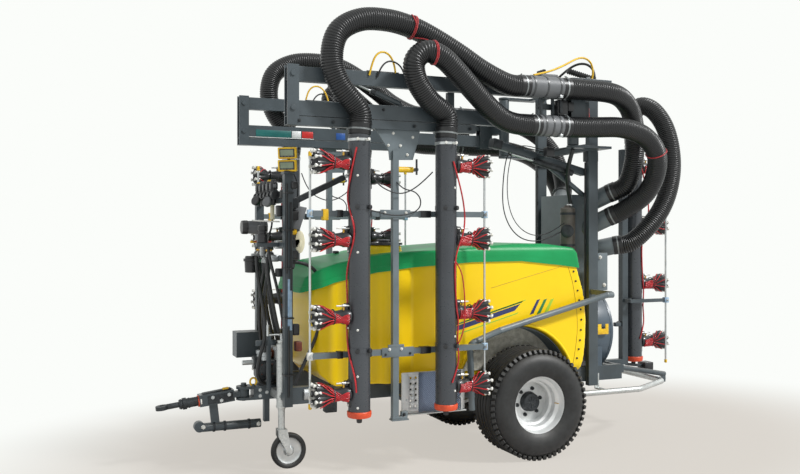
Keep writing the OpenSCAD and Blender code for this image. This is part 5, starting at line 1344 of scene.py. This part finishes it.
    # Lift cylinder on the beam: rod and gland
    trim += [
        tube("lift_rod", [place(-1.32, BAR_Y, 2.685), place(-1.44, BAR_Y, 2.73)], 0.010,
            bright_steel, 0),
        tube("lift_gland", [place(-1.305, BAR_Y, 2.680), place(-1.335, BAR_Y, 2.691)], 0.023,
            forged_steel, 0)]
    for x0, x1, finish_of in ((-1.80, -1.50, teal_plate), (-1.492, -1.414, silver_paint),
            (-1.405, -1.308, sign_red), (-1.102, -1.020, blue_enamel)):
        trim.append(slab("sign_plate", x0, x1, SIGN_Y - 0.002, SIGN_Y, 2.500, 2.556, finish_of,
                0.0006))
    trim.append(slab("sign_bar", -1.90, -1.30, SIGN_Y - 0.001, SIGN_Y, 2.492, 2.497, silver_paint,
            0.0003))
    joined(f"{side}_lower_beam_trim", trim, f"{side}_lower")
    trim = []
    # Coupling rings, bolted carriers and the valve block between them
    for x0, x1, z in ((-0.160, 0.120, A_Z), (-0.065, 0.120, B_Z)):
        for x in (x0 + 0.030, (x0 + x1) / 2, x1 - 0.030):
            trim.append(ring_clamp("coupling_ring", place(x, COUPLING_Y, z), (1, 0, 0),
                    HOSE_R + 0.0005, 0.012, pvc_dark, 0.003))
        trim.append(slab("strap_lug", x1 - 0.050, x1 - 0.026,
                COUPLING_Y + 0.060, COUPLING_Y + 0.086, z - 0.086, z - 0.066, bright_steel))
    trim += [
        slab("valve_block", 0.125, 0.215, 0.775, 0.835, 2.585, 2.700, black_abs, 0.006),
        slab("valve_cap", 0.135, 0.160, 0.835, 0.850, 2.60, 2.69, forged_steel, 0.004),
        slab("coil", 0.225, 0.275, 0.780, 0.825, 2.62, 2.69, black_abs, 0.006),
        tube("port_line", [place(0.17, 0.80, 2.60), place(0.16, 0.81, 2.545),
                place(0.20, 0.80, 2.50), place(0.28, 0.79, 2.49)], 0.009, thin_rubber, 6),
        tube("port_line", [place(0.19, 0.80, 2.69), place(0.20, 0.80, 2.74),
                place(0.26, 0.79, 2.76), place(0.33, 0.78, 2.75)], 0.009, thin_rubber, 6)]
    trim += hexes([place(0.33, 0.795, z) for z in (2.77, 2.54)], out, 0.016, bright_steel)
    joined(f"{side}_turret_trim", trim, f"{side}_turret")


for side, sign in SIDES:
    arm_trim(side, sign)

# ---------------------------------------------------------------- displays


def display():
    """A display in its framed case, its screen facing -Y."""
    parts = [block("case", (-0.068, -0.020, -0.040), (0.068, 0.024, 0.040), black_abs, 0.010, 3),
        block("bezel", (-0.070, -0.028, -0.041), (0.070, -0.008, 0.041), yellow_pp, 0.008, 3),
        block("inner_frame", (-0.056, -0.031, -0.028), (0.056, -0.024, 0.030), black_abs, 0.003),
        block("screen", (-0.048, -0.0325, -0.018), (0.048, -0.028, 0.024), lead_screen, 0.001)]
    key = block("key", (-0.006, -0.0335, -0.0265), (0.006, -0.030, -0.021), grey_pvc, 0.001)
    parts += copies(key, [Matrix.Translation((x, 0, 0)) for x in (-0.036, -0.012, 0.012, 0.036)])
    return joined("display", parts, None)


turn = about("Z", -36) @ about("X", 8)
meters = copies(display(), [at(-1.842, -0.446, 2.178) @ turn, at(-1.842, -0.446, 2.266) @ turn])
meters += [
    block("meter_post", spot(-1.845, -0.440, 2.130), spot(-1.825, -0.420, 2.300), black_abs, 0.003),
    block("meter_foot", spot(-1.878, -0.475, 2.130), spot(-1.802, -0.385, 2.138), black_abs, 0.003)]
meters = joined("displays", meters, "chassis", "meters")

# ---------------------------------------------------------------- valves and filters


def motor_valve(cap_finish):
    """A section valve on +Z: body, motor housing and plug."""
    return joined("motor_valve", [
        turned("body", [(-0.080, 0.013), (-0.076, 0.017), (-0.040, 0.017), (-0.036, 0.022),
                (0.020, 0.024), (0.024, 0.030), (0.030, 0.030), (0.032, 0.026), (0.088, 0.026),
                (0.096, 0.021), (0.098, 0.012)], black_abs, 20),
        block("gearbox", (-0.027, -0.024, 0.034), (0.027, 0.024, 0.080), black_abs, 0.006),
        turned("cap", [(0.096, 0.018), (0.104, 0.018), (0.108, 0.013)], cap_finish, 16),
        block("plug", (-0.012, -0.040, 0.045), (0.012, -0.020, 0.070), grey_pvc, 0.004)], None)


def hand_valve():
    """A ball valve on +Z with a lever: brass body, black union and red lever."""
    return joined("hand_valve", [
        turned("valve_body", [(0.0, 0.020), (0.006, 0.026), (0.050, 0.026), (0.056, 0.020),
                (0.066, 0.020), (0.068, 0.012)], brass, 18),
        block("gland", (-0.026, -0.026, 0.012), (0.026, 0.026, 0.044), black_abs, 0.006),
        block("lever", (-0.012, -0.085, 0.068), (0.012, 0.016, 0.078), sign_red, 0.004),
        block("lever_tip", (-0.010, -0.105, 0.062), (0.010, -0.080, 0.080), yellow_pp, 0.004)],
        None)


PRESSURE_X, PRESSURE_Z = -1.890, 1.98
AGITATOR_X, AGITATOR_Z = -1.894, 1.54
valves = [tube("pressure_rail", [spot(PRESSURE_X, y, PRESSURE_Z) for y in (-0.28, 0.28)], 0.024,
        black_abs, 0)]
for k, finish_of in enumerate((black_abs, yellow_pp, black_abs, grey_pvc, yellow_pp)):
    valves += copies(motor_valve(finish_of), [at(PRESSURE_X, -0.22 + 0.11 * k, 1.985)])
for y in (-0.275, -0.165, -0.055, 0.055, 0.165, 0.275):
    valves.append(ring_clamp("union", spot(PRESSURE_X, y, PRESSURE_Z), (0, 1, 0), 0.022, 0.022,
            forged_steel, 0.010))
for y in (-0.165, 0.165):
    valves.append(block("saddle", spot(PRESSURE_X, y - 0.015, 1.945),
            spot(-1.862, y + 0.015, 1.985), zinc, 0.002))
valves.append(tube("agitator_rail", [spot(AGITATOR_X, y, AGITATOR_Z) for y in (-0.14, 0.27)],
        0.026, black_abs, 0))
valves += copies(hand_valve(), [at(AGITATOR_X, y, 1.565) @ about("Z", r)
        for y, r in ((-0.10, -60), (0.0, -40), (0.10, -70), (0.20, -30))])
for y in (-0.13, -0.05, 0.05, 0.15, 0.25):
    valves.append(ring_clamp("union", spot(AGITATOR_X, y, AGITATOR_Z), (0, 1, 0), 0.025, 0.020,
            bright_steel, 0.006))
for y in (-0.11, -0.02, 0.02, 0.06, 0.20):
    nut = turned("hose_nut", [(-0.062, 0.016), (-0.060, 0.021), (-0.036, 0.021), (-0.034, 0.017),
            (-0.010, 0.017)], bright_steel, 6)
    valves.append(settle(nut, at(AGITATOR_X, y, AGITATOR_Z)))
# Pressure filter: bowl, ring nut and dark end cap
pressure_filter = at(-2.00, -0.06, 1.745) @ about("Y")
filter_parts = turned("filter", [(-0.075, 0.030), (-0.070, 0.046), (0.040, 0.050), (0.042, 0.060),
        (0.070, 0.060), (0.072, 0.050), (0.098, 0.046)], grey_pvc, 32)
valves.append(settle(filter_parts, pressure_filter))
cap = turned("filter_cap", [(-0.090, 0.020), (-0.089, 0.050), (-0.072, 0.053), (-0.048, 0.053),
        (-0.046, 0.040)], black_abs, 10)
valves += [
    settle(cap, pressure_filter),
    block("filter_arm", spot(-1.950, -0.078, 1.545), spot(-1.915, -0.042, 1.700), cast_alloy,
        0.004),
    block("filter_bridge", spot(-1.950, -0.078, 1.535), spot(-1.862, -0.042, 1.551), cast_alloy,
        0.003)]
# Suction filter
valves += [
    settle(turned("suction_filter", [(0.0, 0.030), (0.004, 0.048), (0.086, 0.052), (0.088, 0.060),
                (0.108, 0.060), (0.110, 0.050), (0.128, 0.044)], black_abs, 32),
        at(-1.965, 0.160, 1.400)),
    block("suction_arm", spot(-1.965, 0.142, 1.518), spot(-1.862, 0.178, 1.546), cast_alloy, 0.004)]
# Regulator with its knob, and the gauge beside it
valves += [
    settle(turned("regulator", [(0.0, 0.034), (0.004, 0.040), (0.060, 0.040), (0.064, 0.030),
                (0.082, 0.028), (0.086, 0.036), (0.118, 0.034), (0.124, 0.026)], black_abs, 20),
        at(-1.990, -0.300, 1.635)),
    block("regulator_arm", spot(-2.035, -0.318, 1.605), spot(-1.862, -0.282, 1.636), slate, 0.004),
    block("regulator_leg", spot(-1.875, -0.430, 1.602), spot(-1.850, -0.284, 1.638), slate, 0.004)]
for x, y, z, r, finish_of in ((-1.985, -0.10, 1.935, 0.036, black_abs),
        (-1.925, -0.20, 1.925, 0.038, grey_pvc)):
    knob = turned("round_knob", [(-0.030, 0.012), (-0.010, 0.014), (-0.008, r * 0.9), (0.004, r),
            (0.020, r), (0.026, r * 0.85)], finish_of, 12)
    valves += [
        settle(knob, facing(spot(x, y, z), (-0.75, -0.55, 0.35))),
        tube("knob_stem", spots((x, y, z), (-1.893, y, 1.975)), 0.008, black_abs, 0)]
cream = turned("sight_tube", [(0.0, 0.014), (0.002, 0.019), (0.016, 0.019), (0.018, 0.016),
        (0.108, 0.016), (0.110, 0.020), (0.124, 0.020), (0.126, 0.014)], cream_nylon, 20)
valves += [
    settle(cream, at(-1.885, -0.165, 1.80)),
    tube("gauge_line", spots((-1.885, -0.165, 1.80), (-1.90, -0.17, 1.72), (-1.94, -0.16, 1.64),
            (-1.97, -0.20, 1.64), (-1.99, -0.28, 1.66)), 0.007, thin_rubber, 6),
    tube("white_arm", spots((-2.02, -0.10, 1.795), (-1.95, -0.19, 1.79), (-1.86, -0.27, 1.785)),
        0.0055, white_nylon, 4)]
valves = joined("valves_and_filters", valves, "chassis", "valve_manifold")

# ---------------------------------------------------------------- stand dressing

trim = []
# Folding arm, wedge bracket, actuator and plates on the near mast
trim += [
    bar("folding_arm", spot(-1.790, -0.40, 1.925), spot(-1.400, -0.36, 2.110), 0.052, 0.040,
        forged_steel, 0.006),
    bar("arm_rod", spot(-1.44, -0.36, 2.090), spot(-1.330, -0.35, 2.143), 0.026, 0.026,
        bright_steel, 0.006),
    block("arm_clevis", spot(-1.845, -0.440, 1.880), spot(-1.765, -0.380, 1.950), forged_steel,
        0.008)]
wedge = plate("wedge", [(0.0, 0.0), (0.055, -0.01), (0.110, 0.150), (0.025, 0.165)], 0.050,
    grey_pvc, 0.006)
trim += [
    settle(wedge, Matrix.Translation((-1.80, 0, 1.735)) @ upright(-0.350)),
    block("yellow_actuator", spot(-1.812, -0.392, 1.690), spot(-1.762, -0.350, 1.768), yellow_pp,
        0.006),
    block("actuator_foot", spot(-1.820, -0.400, 1.650), spot(-1.755, -0.350, 1.690), black_abs,
        0.006)]
oval = turned("oval_plate", [(0, 0.040), (0.003, 0.050), (0.008, 0.050), (0.010, 0.046)],
    cream_nylon, 32)
settle(oval, Matrix.Diagonal((0.7, 1.6, 1.0, 1.0)))
trim += [
    settle(oval, at(-1.745, -0.395, 1.640) @ about("X")),
    block("oval_arm", spot(-1.80, -0.405, 1.60), spot(-1.745, -0.395, 1.66), black_abs, 0.003)]
# Pale guide bar and cable ducts down the mast
trim.append(block("guide_bar", spot(-1.848, -0.4565, 1.020), spot(-1.818, -0.4495, 1.380),
        sky_nylon, 0.002))
for x, low, high in ((-1.856, 1.42, 2.05), (-1.826, 1.30, 1.92), (-1.842, 0.55, 1.05)):
    trim.append(tube("mast_cable", [spot(x, -0.457, low), spot(x, -0.459, (low + high) / 2),
                spot(x, -0.457, high)], 0.007, thin_rubber, 4))
for z in (0.70, 1.10, 1.45, 1.72, 1.98):
    trim.append(block("mast_tie", spot(-1.874, -0.468, z), spot(-1.806, -0.388, z + 0.012),
            black_abs, 0.003))
# Clamps, switches and small parts on the mast: the middle, size and finish of each
MAST_PARTS = (
    (-1.80, -0.44, 2.04, 0.05, 0.06, 0.05, black_abs),
    (-1.79, -0.40, 1.83, 0.06, 0.06, 0.07, black_abs),
    (-1.85, -0.36, 1.98, 0.06, 0.05, 0.06, black_abs),
    (-1.87, -0.33, 1.86, 0.06, 0.06, 0.08, black_abs),
    (-1.79, -0.42, 1.55, 0.05, 0.05, 0.06, black_abs),
    (-1.80, -0.36, 1.48, 0.05, 0.06, 0.05, grey_pvc),
    (-1.78, -0.41, 1.02, 0.05, 0.05, 0.08, black_abs),
    (-1.76, -0.40, 0.90, 0.05, 0.06, 0.07, rust_brown),
    (-1.86, -0.30, 1.42, 0.07, 0.06, 0.06, black_abs),
    (-1.86, -0.25, 1.62, 0.06, 0.06, 0.06, bright_steel),
    (-1.88, -0.21, 1.52, 0.06, 0.05, 0.05, cast_alloy))
for x, y, z, sx, sy, sz, finish_of in MAST_PARTS:
    trim.append(block("mast_part", spot(x - sx / 2, y - sy / 2, z - sz / 2),
            spot(x + sx / 2, y + sy / 2, z + sz / 2), finish_of, 0.010, 3))
# Coupling holder behind the jack, then the silencer and the box under the tank's front
trim += [
    block("coupling_post", spot(-1.930, -0.190, 0.560), spot(-1.900, -0.160, 0.980), slate, 0.004),
    block("coupling_plate", spot(-2.010, -0.184, 0.885), spot(-1.860, -0.166, 0.925), slate, 0.003),
    settle(turned("silencer", [(-0.055, 0.020), (-0.050, 0.052), (0.045, 0.055), (0.055, 0.030)],
            cast_alloy, 28), at(-1.655, -0.330, 0.545) @ about("Y")),
    block("silencer_lug", spot(-1.66, -0.350, 0.545), spot(-1.64, -0.310, 0.600), slate, 0.003),
    block("battery_box", spot(-1.545, -0.372, 0.400), spot(-1.455, -0.300, 0.482), forged_steel,
        0.008, 3)]
trim += hexes([spot(x, -0.392, z) for x, z in ((-1.50, 0.62), (-1.35, 0.62))], (0, -1, 0), 0.010,
    bright_steel)
joined("stand_dressing", trim, "chassis")

# ---------------------------------------------------------------- pump

PUMP_X, PUMP_Z = -1.970, 0.743
parts = [block("crankcase", spot(PUMP_X, -0.085, 0.623), spot(-1.770, 0.085, 0.773), forged_steel,
        0.020, 3)]
for y in (-0.070, 0.070):
    head = turned("pump_head", [(0.0, 0.050), (0.004, 0.058), (0.020, 0.058), (0.024, 0.050),
            (0.036, 0.048), (0.044, 0.036)], forged_steel, 28)
    way = 1 if y > 0 else -1
    parts += copies(head, [facing(spot(PUMP_X + x, way * 0.072, 0.700), (0, way, 0))
            for x in (0.062, 0.142)])
    for x, r, z in ((0.060, 0.034, 0.8235), (0.150, 0.028, 0.8635)):
        port = turned("pump_port", [(0.765, r), (z - 0.030, r), (z - 0.026, r + 0.008),
                (z - 0.002, r + 0.008), (z, r)], cast_alloy, 20)
        parts.append(settle(port, at(PUMP_X + x, y, 0)))
    bolts = [spot(PUMP_X + x + 0.046 * math.cos(a), way * 0.094, 0.700 + 0.046 * math.sin(a))
        for x in (0.062, 0.142) for a in (0.8, 2.4, 3.9, 5.5)]
    parts += hexes(bolts, (0, way, 0), 0.006, rust_brown)
flange = turned("shaft_flange", [(-0.020, 0.030), (-0.019, 0.050), (-0.002, 0.052), (0.0, 0.044)],
    forged_steel, 28)
parts.append(settle(flange, at(PUMP_X, 0, PUMP_Z) @ about("Y")))
for x in (0.020, 0.110):
    parts.append(block("pump_foot", spot(PUMP_X + x, -0.050, 0.573),
            spot(PUMP_X + x + 0.040, 0.050, 0.640), forged_steel, 0.006))
parts.append(settle(turned("air_vessel", [(0.770, 0.030), (0.775, 0.042), (0.800, 0.046),
                (0.826, 0.040), (0.838, 0.020)], rust_brown, 28), at(PUMP_X + 0.105, 0, 0)))
pump = joined("diaphragm_pump", parts, "chassis", "pump")

# ---------------------------------------------------------------- hitch

trim = []
DROOP = math.radians(6.5)


def along(back, up, side_y=0.0):
    """A place on the sloping hitch head: back from its knuckle, up and to the side."""
    return spot(-2.060 - back * math.cos(DROOP) - up * math.sin(DROOP), side_y,
        0.523 - back * math.sin(DROOP) + up * math.cos(DROOP))


ahead = along(1, 0) - along(0, 0)
trim.append(bar("hitch_rib", along(0.09, 0.050), along(0.30, 0.046), 0.050, 0.012, forged_steel,
        0.003))
for side_y in (-0.043, 0.043):
    trim.append(bar("hitch_cheek", along(0.085, 0.0, side_y), along(0.27, 0.0, side_y), 0.006,
            0.060, forged_steel, 0.0025))
    trim += hexes([along(b, u, side_y * 1.08) for b, u in ((0.115, 0.015), (0.235, 0.015),
                (0.175, -0.018))], (0, -1 if side_y < 0 else 1, 0), 0.010, bright_steel)
trim += [
    bar("yellow_tag", along(0.110, 0.060, -0.020), along(0.155, 0.060, -0.020), 0.024, 0.014,
        yellow_pp, 0.004),
    settle(turned("knuckle_head", [(0.552, 0.026), (0.556, 0.034), (0.572, 0.034), (0.580, 0.024)],
            forged_steel, 6), at(-2.060, 0, 0)),
    ring_clamp("front_collar", along(0.332, 0.0), ahead, 0.036, 0.010, orange_pp, 0.006),
    ring_clamp("rear_collar", along(0.318, 0.0), ahead, 0.040, 0.010, white_nylon, 0.006)]
for x, z in ((-2.360, 0.300), (-1.955, 0.290)):
    trim += hexes([spot(x, -0.034, z)], (0, -1, 0), 0.012, white_nylon)
for x in (-2.28, -2.20, -2.02):
    trim.append(ring_clamp("link_ring", spot(x, 0, 0.290), (1, 0, 0), 0.0322, 0.014, forged_steel,
            0.005))
joined("hitch_trim", trim, "hitch")
trim = [link("lifting_ring", (-2.005, -0.075, 0.612), 0.024, 0.028, 0.007, yellow_pp)]
trim.append(block("ring_lug", spot(-2.018, -0.084, 0.566), spot(-1.992, -0.064, 0.592), slate,
        0.004))
trim += hexes([spot(x, -0.062, z) for x, z in ((-1.95, 0.545), (-1.95, 0.50), (-1.90, 0.525))],
    (0, -1, 0), 0.010, bright_steel)
joined("drawbar_trim", trim, "chassis")
trim = [ring_clamp("eye_ring", along(back, 0.0), ahead, 0.0342, 0.008, forged_steel, 0.003)
    for back in (0.400, 0.458)]
joined("eye_rings", trim, "eye")

# ---------------------------------------------------------------- jack wheel

JACK_X, JACK_Y, TRAIL, JOCKEY_R = -1.842, -0.260, 0.052, 0.130
tyre = turned("jockey_tyre", [(-0.014, 0.092), (-0.019, 0.098), (-0.024, 0.112), (-0.0235, 0.120),
        (-0.018, 0.1265), (-0.008, 0.1295), (0.008, 0.1295), (0.018, 0.1265), (0.0235, 0.120),
        (0.024, 0.112), (0.019, 0.098), (0.014, 0.092)], tyre_rubber, 64, 50.0, ring=True)
rim = turned("jockey_rim", [(-0.018, 0.094), (-0.015, 0.097), (-0.011, 0.092), (-0.008, 0.074),
        (-0.008, 0.040), (-0.020, 0.030), (-0.028, 0.026), (-0.030, 0.022), (-0.030, 0.0095),
        (0.030, 0.0095), (0.030, 0.022), (0.028, 0.026), (0.020, 0.030), (0.008, 0.040),
        (0.008, 0.074), (0.011, 0.092), (0.015, 0.097), (0.018, 0.094)], bright_steel, 64, 30.0,
    ring=True)
whole = joined("jockey_wheel_built", [tyre, rim], None)
settle(whole, facing(spot(JACK_X + TRAIL, JACK_Y, JOCKEY_R), (0, -1, 0)))
whole = joined("jockey_wheel_built", [whole], "jockey", "jockey_wheel")
trim = [settle(turned("jack_sleeve", [(0.445, 0.0285), (0.447, 0.036), (0.905, 0.036),
                (0.907, 0.0285)], zinc, 32, ring=True), at(JACK_X, JACK_Y, 0))]
trim += [ring_clamp("jack_ring", spot(JACK_X, JACK_Y, z), (0, 0, 1), 0.0362, 0.012, zinc, 0.003)
    for z in (0.452, 0.892)]
trim += hexes([spot(JACK_X + x, JACK_Y - 0.0365, 0.530) for x in (-0.018, 0.018)], (0, -1, 0),
    0.007, bright_steel)
joined("jack_trim", trim, "chassis")

# ---------------------------------------------------------------- gantry and tower trim

POST_Y = 0.372
CAN_X, CAN_Y = 0.600, -0.250
trim = []
for _, sign in SIDES:
    out = (0, sign, 0)
    trim += hexes([spot(x, sign * 0.391, z) for x, z in ((0.715, 2.40), (0.765, 2.40),
                (0.715, 2.93), (0.765, 2.87), (0.740, 1.25))], out, 0.011, bright_steel)
    # Lug plate on the post
    trim.append(block("lug_plate", spot(0.790, sign * POST_Y, 1.225),
            spot(0.905, sign * 0.380, 1.535), slate_pale, 0.003))
    trim += hexes([spot(x, sign * 0.381, z) for x, z in ((0.83, 1.50), (0.87, 1.27))], out, 0.012,
        white_nylon)
    trim.append(block("lug_foot", spot(0.780, sign * 0.340, 1.34), spot(0.800, sign * 0.380, 1.42),
            slate, 0.002))
    # Yellow notched bracket between post and fan
    notch = plate("notched_bracket", [(0.775, 0.86), (0.915, 0.86), (0.915, 0.945), (0.885, 0.945),
            (0.885, 0.905), (0.845, 0.905), (0.845, 0.945), (0.775, 0.945)], 0.008, yellow_pp,
        0.002)
    trim.append(settle(notch, upright(sign * POST_Y + (0.0 if sign < 0 else 0.008))))
    # Reinforcing block and cable clips on the post
    trim.append(block("post_block", spot(0.680, sign * 0.350, 2.285),
            spot(0.800, sign * 0.400, 2.372), forged_steel, 0.006))
    for z in (0.75, 1.10, 1.62, 1.95, 2.20, 2.62):
        trim.append(tube("post_cable_clip", [spot(0.692, sign * POST_Y, z),
                    spot(0.688, sign * POST_Y, z + 0.03)], 0.010, black_abs, 0))
    trim.append(tube("post_cable", [spot(0.687, sign * POST_Y, 0.65),
                spot(0.685, sign * POST_Y, 1.4), spot(0.687, sign * POST_Y, 2.28)], 0.006,
            thin_rubber, 4))
# Inner arm below the turret, with its cylinder, on the near post
trim += [
    bar("inner_arm", spot(0.700, -0.330, 2.200), spot(-0.160, -0.400, 2.395), 0.060, 0.060, slate,
        0.005),
    bar("inner_arm_tip", spot(-0.120, -0.396, 2.387), spot(-0.205, -0.403, 2.406), 0.074, 0.074,
        forged_steel, 0.008),
    tube("inner_cylinder", spots((0.560, -0.372, 2.190), (0.180, -0.395, 2.278)), 0.026,
        forged_steel, 0),
    tube("inner_rod", spots((0.190, -0.395, 2.276), (-0.020, -0.400, 2.324)), 0.011, bright_steel,
        0),
    bar("inner_strut", spot(0.700, -0.330, 2.010), spot(0.300, -0.366, 2.270), 0.034, 0.034, slate,
        0.004),
    block("turret_drop", spot(0.205, -0.560, 2.300), spot(0.275, -0.500, 2.375), black_abs, 0.008),
    block("turret_drop_arm", spot(0.215, -0.520, 2.290), spot(0.265, -0.380, 2.315), slate, 0.004)]
# Air can in front of the tower
trim.append(settle(turned("air_can", [(1.560, 0.045), (1.566, 0.062), (1.900, 0.062),
                (1.912, 0.050), (1.914, 0.030), (1.930, 0.028)], grey_brown, 36),
        at(CAN_X, CAN_Y, 0)))
cap = turned("can_cap", [(0, 0.046), (0.004, 0.054), (0.018, 0.054), (0.024, 0.044),
        (0.026, 0.020)], forged_steel, 28)
trim += [
    settle(cap, facing(spot(0.560, -0.303, 1.715), (-0.5, -0.86, 0))),
    ring_clamp("can_clamp", spot(0.622, -0.250, 1.932), (0, 0, 1), 0.0235, 0.016, bright_steel,
        0.003)]
for z in (1.60, 1.86):
    trim.append(ring_clamp("can_band", spot(CAN_X, CAN_Y, z), (0, 0, 1), 0.0622, 0.020,
            forged_steel, 0.003))
# Valve block, coils, bellows and a hose stand on the gantry's top
trim += [
    block("top_valve", spot(0.430, -0.110, 2.972), spot(0.600, 0.040, 3.040), grey_pvc, 0.008, 3),
    block("top_valve_front", spot(0.424, -0.100, 2.985), spot(0.434, 0.030, 3.030), black_abs,
        0.003)]
for y in (-0.09, -0.05, -0.01):
    trim.append(settle(turned("coil", [(0, 0.012), (0.002, 0.017), (0.034, 0.017), (0.038, 0.008)],
                black_abs, 14), at(0.47, y, 3.040)))
FOLD = 0.019
stations = []
for k in range(14):
    stations += [(FOLD * k, 0.018), (FOLD * (k + 0.5), 0.026)]
bellows = turned("bellows", stations, thin_rubber, 24, 60.0)
trim += [
    settle(bellows, facing(spot(0.545, -0.330, 3.030), (0.93, -0.08, -0.22))),
    block("bellows_foot", spot(0.700, -0.372, 2.945), spot(0.780, -0.330, 2.985), slate, 0.004),
    block("hose_stand", spot(0.100, -0.435, 2.905), spot(0.140, -0.405, 2.940), slate, 0.003),
    bar("hose_stand_arm", spot(0.700, -0.350, 2.915), spot(0.120, -0.420, 2.915), 0.028, 0.028,
        slate, 0.004)]
joined("gantry_trim", trim, "chassis")

# Red rag tied round the post's head


def squared(share):
    """A sine or cosine drawn towards a square's sides."""
    return math.copysign(abs(share) ** 0.5, share)


wraps = []
for k in range(4):
    slack = 0.003 * (k % 2)
    ring = [spot(0.740 + (0.052 + slack) * squared(math.cos(a)),
            -0.365 + (0.034 + slack) * squared(math.sin(a)),
            2.700 + 0.018 * k + 0.006 * math.sin(2 * a + k))
        for a in [2 * math.pi * j / 28 for j in range(28)]]
    wraps.append(tube("rag_turn", ring, 0.0085, red_cloth, 0, closed=True))
wraps.append(tube("rag_end", spots((0.700, -0.402, 2.735), (0.690, -0.412, 2.700),
            (0.695, -0.410, 2.650), (0.682, -0.414, 2.610)), 0.009, red_cloth, 5))
joined("red_rag", wraps, "chassis")

# ---------------------------------------------------------------- fan, tail and lashings

FAN_Z, DRUM_R = 0.877, 0.355
TAIL_ROD_X, TAIL_ROD_Y = 1.720, -0.120
trim = []
for k in range(12):
    a = math.radians(30 * k + 15)
    way = Vector((0, math.cos(a), math.sin(a)))
    trim += hexes([spot(0.633, 0, FAN_Z) + (DRUM_R + 0.002) * way], way, 0.008, bright_steel)
for x in (0.632, 0.966):
    trim.append(ring_clamp("drum_band", spot(x, 0, FAN_Z), (1, 0, 0), DRUM_R + 0.0002, 0.020,
            fan_enamel, 0.003))
handle = rounded([(1.270, 0, 0.890), (1.300, 0, 0.905), (1.345, 0, 0.880), (1.365, 0, 0.80),
        (1.365, 0, 0.68), (1.345, 0, 0.590), (1.310, 0, 0.560)], 6)
trim += [
    tube("rear_handle", [spot(x, y, z) for x, y, z in handle], 0.011, black_abs, 0),
    block("handle_lug", spot(1.255, -0.02, 0.870), spot(1.345, 0.02, 0.905), slate, 0.004)]
for z in (1.055, 2.075, 1.10, 2.12):
    trim.append(ring_clamp("tail_band", spot(TAIL_X, 0, z), (0, 0, 1), DUCT_R + 0.0005, 0.022,
            duct_paint, 0.003))
for z in (1.10, 2.12):
    knob = turned("tail_knob", [(0, 0.012), (0.010, 0.016), (0.022, 0.016), (0.025, 0.010)],
        black_abs, 10)
    trim += copies(knob, [at(TAIL_X, 0, z) @ outward(0, DUCT_R + 0.002, angle)
            for angle in (-118, -62)])
cap = turned("rod_cap", [(-0.020, 0.0082), (-0.019, 0.0125), (0.004, 0.0125), (0.010, 0.008)],
    yellow_pp, 16)
trim += copies(cap, [facing(spot(TAIL_ROD_X, TAIL_ROD_Y, 0.549), (0, 0, -1)),
        facing(spot(TAIL_ROD_X, TAIL_ROD_Y, 2.321), (0, 0, 1))])
trim += [
    tube("tail_rod_sleeve", spots((TAIL_ROD_X, TAIL_ROD_Y, 0.556),
            (TAIL_ROD_X, TAIL_ROD_Y, 2.314)), 0.0088, bright_steel, 0),
    block("tail_rod_clamp", spot(1.698, -0.142, 1.076), spot(1.742, -0.098, 1.124), sky_nylon,
        0.006)]
trim += hexes([spot(1.720, -0.143, 1.10)], (0, -1, 0), 0.009, bright_steel)
trim += [
    link("shackle", (1.620, -0.200, 0.420), 0.026, 0.034, 0.008, bright_steel),
    block("tail_box", spot(1.545, -0.055, 0.470), spot(1.640, 0.055, 0.540), black_abs, 0.008, 3),
    bar("tail_box_arm", spot(1.380, 0, 0.530), spot(1.560, 0, 0.505), 0.036, 0.024, slate, 0.004)]
joined("tail_trim", trim, "chassis")


def rope_ring(name, centre, direction, radius, turns=2):
    """A rope wound that many turns about a hose."""
    steps = 24
    stops = [round_the_axis(0.011 * (k / steps - turns / 2), radius, 360 * k / steps)
        for k in range(turns * steps + 1)]
    seat = facing(centre, direction)
    return tube(name, [seat @ p for p in stops], 0.0045, red_cloth, 0)


def lashing(side):
    """The rope that ties one arm's front hoses together; y is measured outwards."""
    def here(x, y, z):
        return sided(side, spot(x, -y, z))

    lash = [
        rope_ring("lash_turn", here(-1.05, 0.805, 3.14), sided(side, Vector((1, 0, -0.22))),
            HOSE_R + 0.004),
        rope_ring("lash_turn", here(-0.955, 0.952, 2.945), sided(side, Vector((1, 0, 0.0))),
            HOSE_R + 0.004),
        tube("lash_span", [here(-1.045, 0.84, 3.062), here(-1.00, 0.90, 3.045),
                here(-0.96, 0.925, 3.028)], 0.0045, red_cloth, 5),
        tube("lash_end", [here(-1.055, 0.80, 3.224), here(-1.065, 0.835, 3.222),
                here(-1.07, 0.868, 3.205), here(-1.06, 0.888, 3.165), here(-1.05, 0.892, 3.12)],
            0.0045, red_cloth, 5)]
    lash = joined(f"{side}_hose_lashing", lash, None)
    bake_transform(lash)


for side, _ in SIDES:
    lashing(side)
lash = [
    rope_ring("rear_lash", spot(1.070, -0.790, 2.340), Vector((-0.5, -0.35, 0.78)),
        HOSE_R + 0.004, 1),
    tube("rear_lash_span", spots((1.05, -0.70, 2.41), (1.03, -0.66, 2.46), (1.02, -0.645, 2.50)),
        0.006, red_cloth, 5)]
joined("rear_lashing", lash, "chassis")
